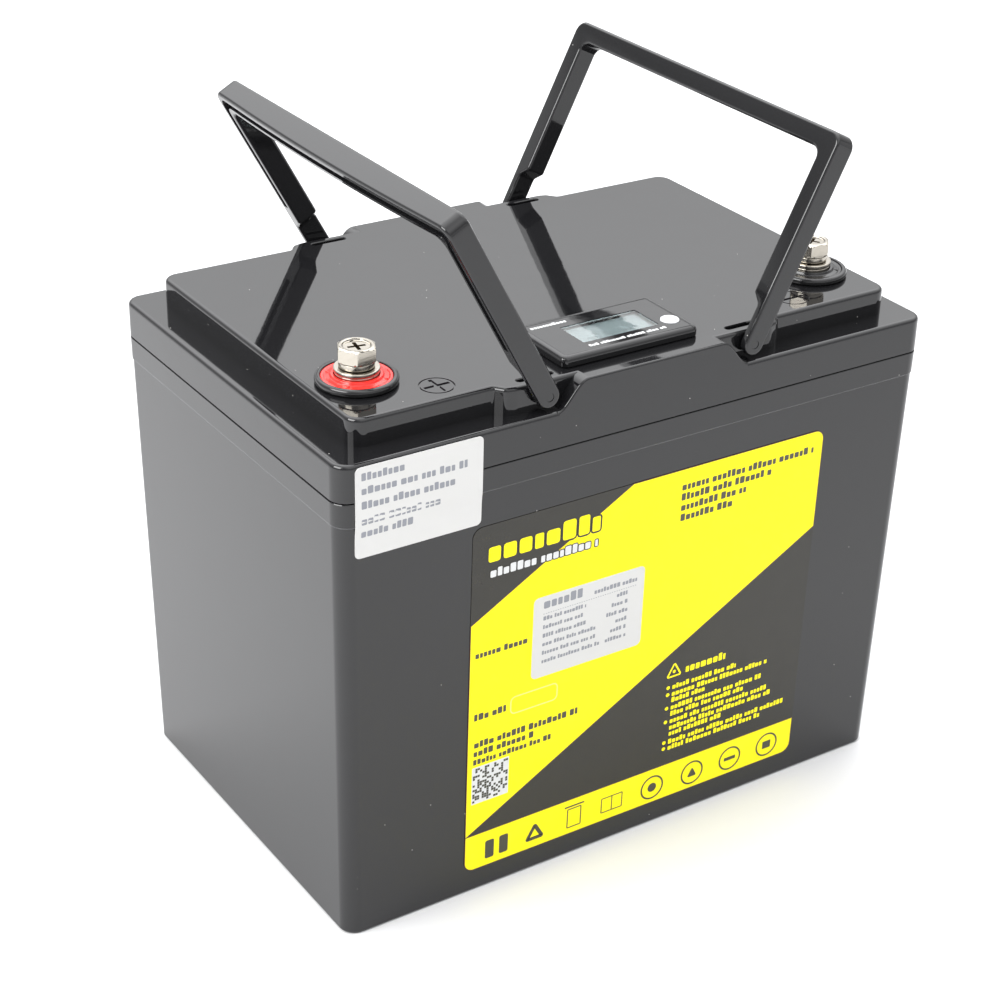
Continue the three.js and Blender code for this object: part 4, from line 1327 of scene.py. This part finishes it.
def yellow_print(rng):
    """The title, the lines with their bullets and the warning triangle's plain stand-in."""
    low, high = BASE_FACES[1], MARK_FACES[1]

    def dot(radius, x, z):
        return slab(circle(radius, 16, (x, z)), low, high, on_front)

    made = greek_line(*TITLE, random.Random(TITLE_SEED), on_front, low, high + 0.02, one_word=True)
    made += greek_line(*YELLOW_HEADING, rng, on_front, low, high, one_word=True)
    start, height = YELLOW_LINE_START, YELLOW_LINE_HEIGHT
    for end, base in YELLOW_LINES:
        made += greek_line(start, end, base, height, rng, on_front, low, high)
    made += [dot(0.85, BULLET_X, z) for z in BULLET_HEIGHTS]
    triangle = round_corners([(14.6, 67.9), (22.6, 67.9), (18.6, 75.0)], 0.8, 4)
    return made + [strip_frame(triangle, 0.75, low, high, on_front), dot(0.75, 18.6, 70.4)]


def block_pattern(rng):
    """A random pattern of square blocks."""
    squares = []
    size = PATTERN_SIZE / PATTERN_CELLS
    middle = (PATTERN_CELLS - 1) / 2
    half = size * 0.46
    for i in range(PATTERN_CELLS):
        for j in range(PATTERN_CELLS):
            if rng.random() < 0.47:
                cx = PATTERN_CENTRE[0] + (i - middle) * size
                cz = PATTERN_CENTRE[1] + (j - middle) * size
                square = [(cx - half, cz - half), (cx + half, cz - half),
                          (cx + half, cz + half), (cx - half, cz + half)]
                squares.append(slab(square, MARK_FACES[1], MARK_FACES[1] + 0.012, on_front))
    return squares


def build_front_label():
    """The front label, one piece for each of its colours."""
    scene = bpy.context.scene
    colours = scene.battery_colours
    rng = random.Random(scene.battery_finish.seed + 1)
    x0, x1, z0, z1 = LABEL_LOW.x, LABEL_HIGH.x, LABEL_LOW.z, LABEL_HIGH.z
    outline = rounded((x1 - x0) / 2, (z1 - z0) / 2, 4.2, 8, ((x0 + x1) / 2, (z0 + z1) / 2))
    black = printed_film("Black printed film", colours.print_black, 0.17, 1.3, 0.008, 0.0, 0.42)
    yellow = printed_film("Yellow printed film", colours.yellow, 0.34, 0.95, 0.008, 0.0, 0.22)
    base = edged(outline, *BASE_FACES, 0.0, 0.06, 2, on_front)
    on_label("label_base", [base], black, ["front_label"])

    fields = label_fields(x0, x1, z0, z1)
    on_label("label_yellow", [slab(shape, *FIELD_FACES, on_front) for shape in fields], yellow)
    trim_faces = (FIELD_FACES[0], FIELD_FACES[0] + 0.01)
    trims = [strip_frame(inset(shape, -0.32), 0.3, *trim_faces, on_front) for shape in fields]
    on_label("label_trim", trims, printed_film("Dark red ink", (0.085, 0.014, 0.004), 0.3))

    dark = []
    for line in DARK_LINES:
        dark += greek_line(*line, rng, on_front, *MARK_FACES)
    for k, x in enumerate(ICON_PLACES):
        dark += label_icon(k, x, ICON_Z)
    on_label("label_dark_print", dark, dark_ink())

    edge_faces = (FIELD_FACES[1], FIELD_FACES[1] + 0.012)
    edging = greek_line(*TITLE, random.Random(TITLE_SEED), on_front, *edge_faces, True, 0.75)
    edging += greek_line(
        *SUBTITLE, random.Random(SUBTITLE_SEED), on_front, *edge_faces, False, 0.45,
    )
    on_label("label_title_edge", edging, black)
    on_label("label_yellow_print", yellow_print(rng), yellow)

    subtitle_faces = (MARK_FACES[0], MARK_FACES[1] + 0.02)
    pale = greek_line(*SUBTITLE, random.Random(SUBTITLE_SEED), on_front, *subtitle_faces)
    pale.append(slab(rounded(8.2, 8.4, 0.3, 3, PATTERN_CENTRE), *MARK_FACES, on_front))
    on_label("label_white_print", pale, white_print())
    number_box = strip_frame(rounded(10.6, 3.9, 2.2, 6, (-47.6, 80.2)), 0.45, *MARK_FACES, on_front)
    pale_yellow = printed_film("Pale yellow ink", (0.92, 0.88, 0.22), 0.35)
    on_label("label_number_box", [number_box], pale_yellow)
    on_label("label_block_print", block_pattern(rng), dark_ink())


def label_icon(k, x, z):
    """Plain round, square and three-cornered marks in place of symbols."""
    def ring(points, width):
        return strip_frame(points, width, *MARK_FACES, on_front)

    def fill(points):
        return slab(points, *MARK_FACES, on_front)

    if k == 0:
        return [fill(rounded(2.0, 4.2, 0.8, 3, (x + way * 3.2, z))) for way in (-1, 1)]
    if k == 1:
        angles = (-2.618, -0.524, 1.571)
        corner = [(x + 5.6 * math.cos(a), z - 1.0 + 5.6 * math.sin(a)) for a in angles]
        return [ring(round_corners(corner, 1.0, 3), 1.6)]
    if k == 2:
        return [ring(rounded(3.4, 4.6, 0.6, 3, (x, z)), 0.5),
                fill(rounded(4.6, 0.35, 0.1, 2, (x, z + 5.6)))]
    if k == 3:
        return [ring(rounded(5.2, 3.6, 0.5, 3, (x, z)), 0.45),
                fill(rounded(0.22, 3.4, 0.1, 2, (x, z)))]
    inner = {
        4: circle(2.1, 24, (x, z)),
        5: round_corners([(x - 2.4, z - 1.9), (x + 2.4, z - 1.9), (x, z + 2.6)], 0.5, 3),
        6: rounded(2.9, 0.8, 0.3, 3, (x, z)),
        7: rounded(2.1, 1.8, 0.3, 3, (x, z)),
    }[k]
    return [ring(circle(5.6, 40, (x, z)), 0.75), fill(inner)]


def build_data_sticker():
    """The white sticker on the front label, with two columns of lines under a dashed rule."""
    rng = random.Random(bpy.context.scene.battery_finish.seed + 2)
    x0, x1, z0, z1 = DATA_LOW.x, DATA_HIGH.x, DATA_LOW.z, DATA_HIGH.z
    outline = rounded((x1 - x0) / 2, (z1 - z0) / 2, 2.2, 6, ((x0 + x1) / 2, (z0 + z1) / 2))
    piece("data_card", edged(outline, *CARD_FACES, 0.0, 0.05, 2, on_front), sticker_paper(),
          "battery", ["data_sticker"])
    rows = [(4.4, 23.0, 29.6, 3.9), (27.0, 46.5, 29.1, 1.9)]
    for k, end in enumerate((23.5, 22.8, 24.5, 29.0, 28.8, 31.2)):
        z = 24.6 - k * 3.72
        rows += [(4.4, end, z, 1.7), (37.5 - (k % 3) * 2.2, 43.0, z, 1.7)]
    prints = []
    for start, end, base, height in rows:
        prints += greek_line(
            x0 + start, x0 + end, z0 + base, height, rng, on_front, *CARD_PRINT_FACES,
        )
    for k in range(40):
        dash = rounded(0.28, 0.12, 0.05, 2, (x0 + 4.6 + k * 1.06, z0 + 27.4))
        prints.append(slab(dash, *CARD_PRINT_FACES, on_front))
    piece("data_print", merged(prints), grey_ink(), "battery")


def on_corner(x, z, lift):
    """The corner sticker lies on the rim band and bends onto the leaning wall below it."""
    bend_top, bend_height, glue = 176.5, 7.0, (0.05, 0.06)
    upper = -LID_LOW.y + glue[0]
    bend = max(0.0, min(1.0, (bend_top - z) / bend_height))
    soft = bend * bend * (3 - 2 * bend)
    wall = -on_front(x, z, 0.0)[1] + glue[1]
    return x, -(upper + (wall - upper) * soft) - lift, z


def corner_card():
    """The corner sticker as a thin bent sheet with round corners."""
    x0, x1, z0, z1 = CORNER_LOW.x, CORNER_HIGH.x, CORNER_LOW.z, CORNER_HIGH.z
    cx, cz, hx, hz, r = (x0 + x1) / 2, (z0 + z1) / 2, (x1 - x0) / 2, (z1 - z0) / 2, 2.0
    rows, corner_rows = 30, range(1, 8)
    heights = [z0 + (z1 - z0) * i / rows for i in range(rows + 1)]
    heights += [z0 + r * (1 - math.cos(math.pi / 16 * i)) for i in corner_rows]
    heights += [z1 - r * (1 - math.cos(math.pi / 16 * i)) for i in corner_rows]
    vertices, faces = [], []
    for z in sorted(heights):
        over = max(0.0, abs(z - cz) - (hz - r))
        half = hx - (r - math.sqrt(max(0.0, r * r - over * over)))
        for x in (cx - half, cx - half / 3, cx + half / 3, cx + half):
            vertices += [on_corner(x, z, 0.0), on_corner(x, z, CORNER_CARD)]
    row, columns = 8, range(0, 6, 2)
    last = (len(heights) - 1) * row
    for a in range(0, last, row):
        b = a + row
        for c in columns:
            faces += [(a + c + 1, a + c + 3, b + c + 3, b + c + 1),
                      (a + c, b + c, b + c + 2, a + c + 2)]
        faces += [(a, a + 1, b + 1, b), (a + 7, a + 6, b + 6, b + 7)]
    for c in columns:
        faces += [(c, c + 2, c + 3, c + 1),
                  (last + c, last + c + 1, last + c + 3, last + c + 2)]
    return vertices, faces


def build_corner_sticker():
    """The white sticker across the seam."""
    rng = random.Random(bpy.context.scene.battery_finish.seed + 3)
    x0, z0 = CORNER_LOW.x, CORNER_LOW.z
    piece("corner_card", corner_card(), sticker_paper(), "battery",
          ["corner_sticker"])
    prints = []
    for end, base in ((20.6, 29.6), (44.0, 24.4), (39.6, 18.9), (33.4, 12.8), (23.4, 7.9)):
        prints += greek_line(
            x0 + 2.4, x0 + end, z0 + base, 2.9, rng, on_corner, *CORNER_PRINT_FACES,
        )
    piece("corner_print", merged(prints), grey_ink(), "battery")


# ---------------------------------------------------------------- pieces kept from the frame
def paint_kept_nodes():
    """Finishes for the pieces whose frame shape is already right."""
    colours = bpy.context.scene.battery_colours
    aluminium = plated_metal("Rolled aluminium", (0.78, 0.79, 0.81), 0.3, 0.85, 500.0)
    foam = soft_stuff("Closed-cell foam", (0.05, 0.05, 0.055), 0.9, 1.8, 0.4, 450.0)
    tape = soft_stuff("Strapping tape", (0.62, 0.62, 0.6), 0.45, 0.86, 0.08, 200.0)
    board = soft_stuff("Green board lacquer", (0.02, 0.16, 0.065), 0.3, 0.7, 0.03, 160.0)
    red_lead = soft_stuff("Red silicone jacket", (0.45, 0.015, 0.012), 0.5, 0.8, 0.06)
    black_lead = soft_stuff("Black silicone jacket", (0.014, 0.014, 0.015), 0.5, 1.5, 0.06)
    cell = polished_plastic("Blue cell film", colours.cell, 0.24, 0.5, 0.0, grain=0.004)
    paper = soft_stuff("Insulation sheet", (0.62, 0.6, 0.52), 0.7, 0.85, 0.1)
    pin = polished_plastic("Hinge pin plastic", colours.moulding, 0.12, 0.1, 0.1, grain=0.003)
    finishes = {
        "busbar": aluminium, "heat_spreader": aluminium, "base_pad": foam, "end_pad": foam,
        "side_pad": foam, "lower_strap": tape, "upper_strap": tape, "display_board": board,
        "control_board": board, "positive_lead": red_lead, "cell_negative": black_lead,
        "output_negative": black_lead, "display_lead": black_lead, "sense_ribbon": black_lead,
        "cell_": cell, "insulation_board": paper, "hinge_pin": pin,
        "button_switch": satin_plastic(),
    }
    for name, node in frame["nodes"].items():
        if node.hide_render:
            continue
        start = max((key for key in finishes if name.startswith(key)), key=len, default=None)
        if start is None:
            raise RuntimeError(f"no finish is set for the frame node {name}")
        node.data.materials.clear()
        node.data.materials.append(finishes[start])


# ---------------------------------------------------------------- studio
FLOOR_HALF, FLOOR_STEPS = 14.0, 28     # metres, and squares along a side
SKY_TINT = (0.985, 0.99, 1.0, 1.0)
# How the studio's light changes with height, depth and side: where each ramp starts and ends,
# then its dimmest value where that isn't a setting.
HEIGHT_RAMP, DEPTH_RAMP, SIDE_RAMP = (0.18, 0.72, 0.3), (-0.35, 0.55), (-0.5, -0.12, 0.42)
HORIZON_BAND = (0.22, 0.34)
CAMERA_PLACE = (-0.4446, -0.6554, 0.5322)
CAMERA_AZIMUTH, CAMERA_ELEVATION, CAMERA_ROLL = -35.64, 28.63, 2.44
CAMERA_SHIFT = (-0.0711, 0.0314)


def build_floor():
    """A wide flat floor."""
    sides = [FLOOR_HALF * (2 * i / FLOOR_STEPS - 1) for i in range(FLOOR_STEPS + 1)]
    vertices = [(x, y, 0.0) for y in sides for x in sides]
    row = len(sides)
    faces = [(j * row + i, j * row + i + 1, (j + 1) * row + i + 1, (j + 1) * row + i)
             for j in range(FLOOR_STEPS) for i in range(FLOOR_STEPS)]
    mesh = bpy.data.meshes.new("studio_floor")
    mesh.from_pydata(vertices, [], faces)
    floor = bpy.data.objects.new("studio_floor", mesh)
    bpy.context.scene.collection.objects.link(floor)
    material, tree, shader = start_material("Studio floor", Roughness=0.6)
    tone = tone_between(tree, bpy.context.scene.battery_studio.floor, 0.985, 3.0, 0.8)
    tree.links.new(tone.outputs["Color"], shader.inputs["Base Color"])
    mesh.materials.append(material)


def ramp(tree, source, shape, low, high, at_low, at_high):
    """A value that changes between two others while the source goes from low to high."""
    node = add_node(tree, "ShaderNodeMapRange", interpolation_type=shape)
    values = {"From Min": low, "From Max": high, "To Min": at_low, "To Max": at_high}
    for socket, value in values.items():
        node.inputs[socket].default_value = value
    tree.links.new(source, node.inputs["Value"])
    return node.outputs[0]


def build_world():
    """Soft light, brighter with height behind and dimmer in front and far left, over a pale
    band round the horizon."""
    studio = bpy.context.scene.battery_studio
    world = bpy.data.worlds.new("Studio light")
    bpy.context.scene.world = world
    world.use_nodes = True
    tree = world.node_tree
    background = tree.nodes["Background"]
    way = add_node(tree, "ShaderNodeSeparateXYZ")
    tree.links.new(add_node(tree, "ShaderNodeTexCoord").outputs["Generated"], way.inputs[0])
    left, back, up = way.outputs
    height = ramp(tree, up, "LINEAR", *HEIGHT_RAMP, studio.back_light)
    depth = ramp(tree, back, "LINEAR", *DEPTH_RAMP, studio.front_light, 1.0)
    side = ramp(tree, left, "LINEAR", *SIDE_RAMP, 1.0)
    strength = math_node(tree, "MULTIPLY", math_node(tree, "MULTIPLY", height, depth), side)
    band = ramp(tree, up, "SMOOTHSTEP", *HORIZON_BAND, studio.horizon, 0.0)
    total = math_node(tree, "MAXIMUM", strength, band)
    tree.links.new(total, background.inputs["Strength"])
    background.inputs["Color"].default_value = SKY_TINT


def soft_light(name, place, target, width, height, watts):
    """A rectangular light at a place, turned towards its target."""
    light = bpy.data.lights.new(name, "AREA")
    light.shape = "RECTANGLE"
    light.size, light.size_y, light.energy = width, height, watts
    made = bpy.data.objects.new(name, light)
    made.location = place
    way = Vector(target) - Vector(place)
    made.rotation_euler = way.to_track_quat("-Z", "Y").to_euler()
    bpy.context.scene.collection.objects.link(made)


def build_camera():
    """The camera, in front of the left half of the battery and above it."""
    azimuth, elevation, roll = [
        math.radians(angle) for angle in (CAMERA_AZIMUTH, CAMERA_ELEVATION, CAMERA_ROLL)
    ]
    ahead = Vector((-math.sin(azimuth) * math.cos(elevation),
                    math.cos(azimuth) * math.cos(elevation), -math.sin(elevation)))
    level = Vector((math.cos(azimuth), math.sin(azimuth), 0.0))
    right = level * math.cos(roll) + level.cross(ahead) * math.sin(roll)
    up = right.cross(ahead)
    data = bpy.data.cameras.new("studio_camera")
    data.lens, data.sensor_width = bpy.context.scene.battery_studio.lens, 36.0
    data.shift_x, data.shift_y = CAMERA_SHIFT
    data.clip_start, data.clip_end = 0.05, 50.0
    camera = bpy.data.objects.new("studio_camera", data)
    camera.matrix_world = Matrix.Translation(CAMERA_PLACE) @ Matrix((
        (right.x, up.x, -ahead.x, 0.0), (right.y, up.y, -ahead.y, 0.0),
        (right.z, up.z, -ahead.z, 0.0), (0.0, 0.0, 0.0, 1.0),
    ))
    bpy.context.scene.collection.objects.link(camera)
    bpy.context.scene.camera = camera


# ---------------------------------------------------------------- operators
class BATTERY_OT_case(Operator):
    """Build the moulded case"""

    bl_idname = "battery.case"
    bl_label = "Case"

    def execute(self, context):
        piece("box_moulding", case_solid(), case_plastic(), "battery", ["case"])
        return {"FINISHED"}


class BATTERY_OT_lid(Operator):
    """Build the lid with its raised deck, ledges, slits and polarity marks"""

    bl_idname = "battery.lid"
    bl_label = "Lid"

    def execute(self, context):
        build_lid()
        return {"FINISHED"}


class BATTERY_OT_handles(Operator):
    """Build the two bail handles"""

    bl_idname = "battery.handles"
    bl_label = "Handles"

    def execute(self, context):
        sizes = context.scene.battery_handle
        build_handle(-1, "left_bail_hinge", sizes.left_lean)
        build_handle(1, "right_bail_hinge", sizes.right_lean)
        return {"FINISHED"}


class BATTERY_OT_terminals(Operator):
    """Build the positive and negative bolt terminals"""

    bl_idname = "battery.terminals"
    bl_label = "Terminals"

    def execute(self, context):
        red_tint = context.scene.battery_colours.red
        red = polished_plastic("Red insert plastic", red_tint, 0.14, 0.3, 0.0, grain=0.003)
        build_terminal("positive", red, 0.99)
        build_terminal("negative", satin_plastic(), 0.15)
        return {"FINISHED"}


class BATTERY_OT_display(Operator):
    """Build the charge display and its button"""

    bl_idname = "battery.display"
    bl_label = "Charge display"

    def execute(self, context):
        build_display()
        return {"FINISHED"}


class BATTERY_OT_labels(Operator):
    """Build the front label and the two white stickers"""

    bl_idname = "battery.labels"
    bl_label = "Labels"

    def execute(self, context):
        build_front_label()
        build_data_sticker()
        build_corner_sticker()
        return {"FINISHED"}


class BATTERY_OT_inner_finishes(Operator):
    """Give the kept frame pieces their finishes"""

    bl_idname = "battery.inner_finishes"
    bl_label = "Inner finishes"

    def execute(self, context):
        paint_kept_nodes()
        return {"FINISHED"}


class BATTERY_OT_studio(Operator):
    """Build the floor, the soft light and the camera"""

    bl_idname = "battery.studio"
    bl_label = "Studio"

    def execute(self, context):
        studio = context.scene.battery_studio
        build_floor()
        build_world()
        soft_light(
            "left soft light", (-1.1, -0.1, 1.0), (-0.33, 0.03, 0.0), 0.9, 0.7, studio.left_power,
        )
        soft_light("top soft light", (0.2, 0.1, 1.9), (0.0, 0.0, 0.1), 1.6, 1.6, studio.top_power)
        build_camera()
        context.scene.view_settings.view_transform = "Standard"
        return {"FINISHED"}


class BATTERY_PT_pieces(Panel):
    """Lists the operators that build the battery"""

    bl_label = "Deep cycle battery"
    bl_idname = "BATTERY_PT_pieces"
    bl_space_type = "VIEW_3D"
    bl_region_type = "UI"
    bl_category = "Battery"

    def draw(self, context):
        for operator in OPERATORS:
            self.layout.operator(operator.bl_idname)
        for name in SETTINGS:
            group = getattr(context.scene, name)
            box = self.layout.box()
            for key in group.__annotations__:
                box.prop(group, key)


OPERATORS = (
    BATTERY_OT_case, BATTERY_OT_lid, BATTERY_OT_handles, BATTERY_OT_terminals, BATTERY_OT_display,
    BATTERY_OT_labels, BATTERY_OT_inner_finishes, BATTERY_OT_studio,
)
SETTINGS = {
    "battery_shell": BatteryShellSettings,
    "battery_handle": BatteryHandleSettings,
    "battery_colours": BatteryColourSettings,
    "battery_finish": BatteryFinishSettings,
    "battery_studio": BatteryStudioSettings,
}


def register():
    for kind in (*SETTINGS.values(), *OPERATORS, BATTERY_PT_pieces):
        bpy.utils.register_class(kind)
    for name, kind in SETTINGS.items():
        setattr(bpy.types.Scene, name, PointerProperty(type=kind))


def unregister():
    for name in SETTINGS:
        delattr(bpy.types.Scene, name)
    for kind in (BATTERY_PT_pieces, *reversed(OPERATORS), *reversed(SETTINGS.values())):
        bpy.utils.unregister_class(kind)


def main():
    register()
    for operator in OPERATORS:
        getattr(bpy.ops.battery, operator.bl_idname.split(".")[1])()
    bpy.context.view_layer.update()


if __name__ == "__main__":
    main()
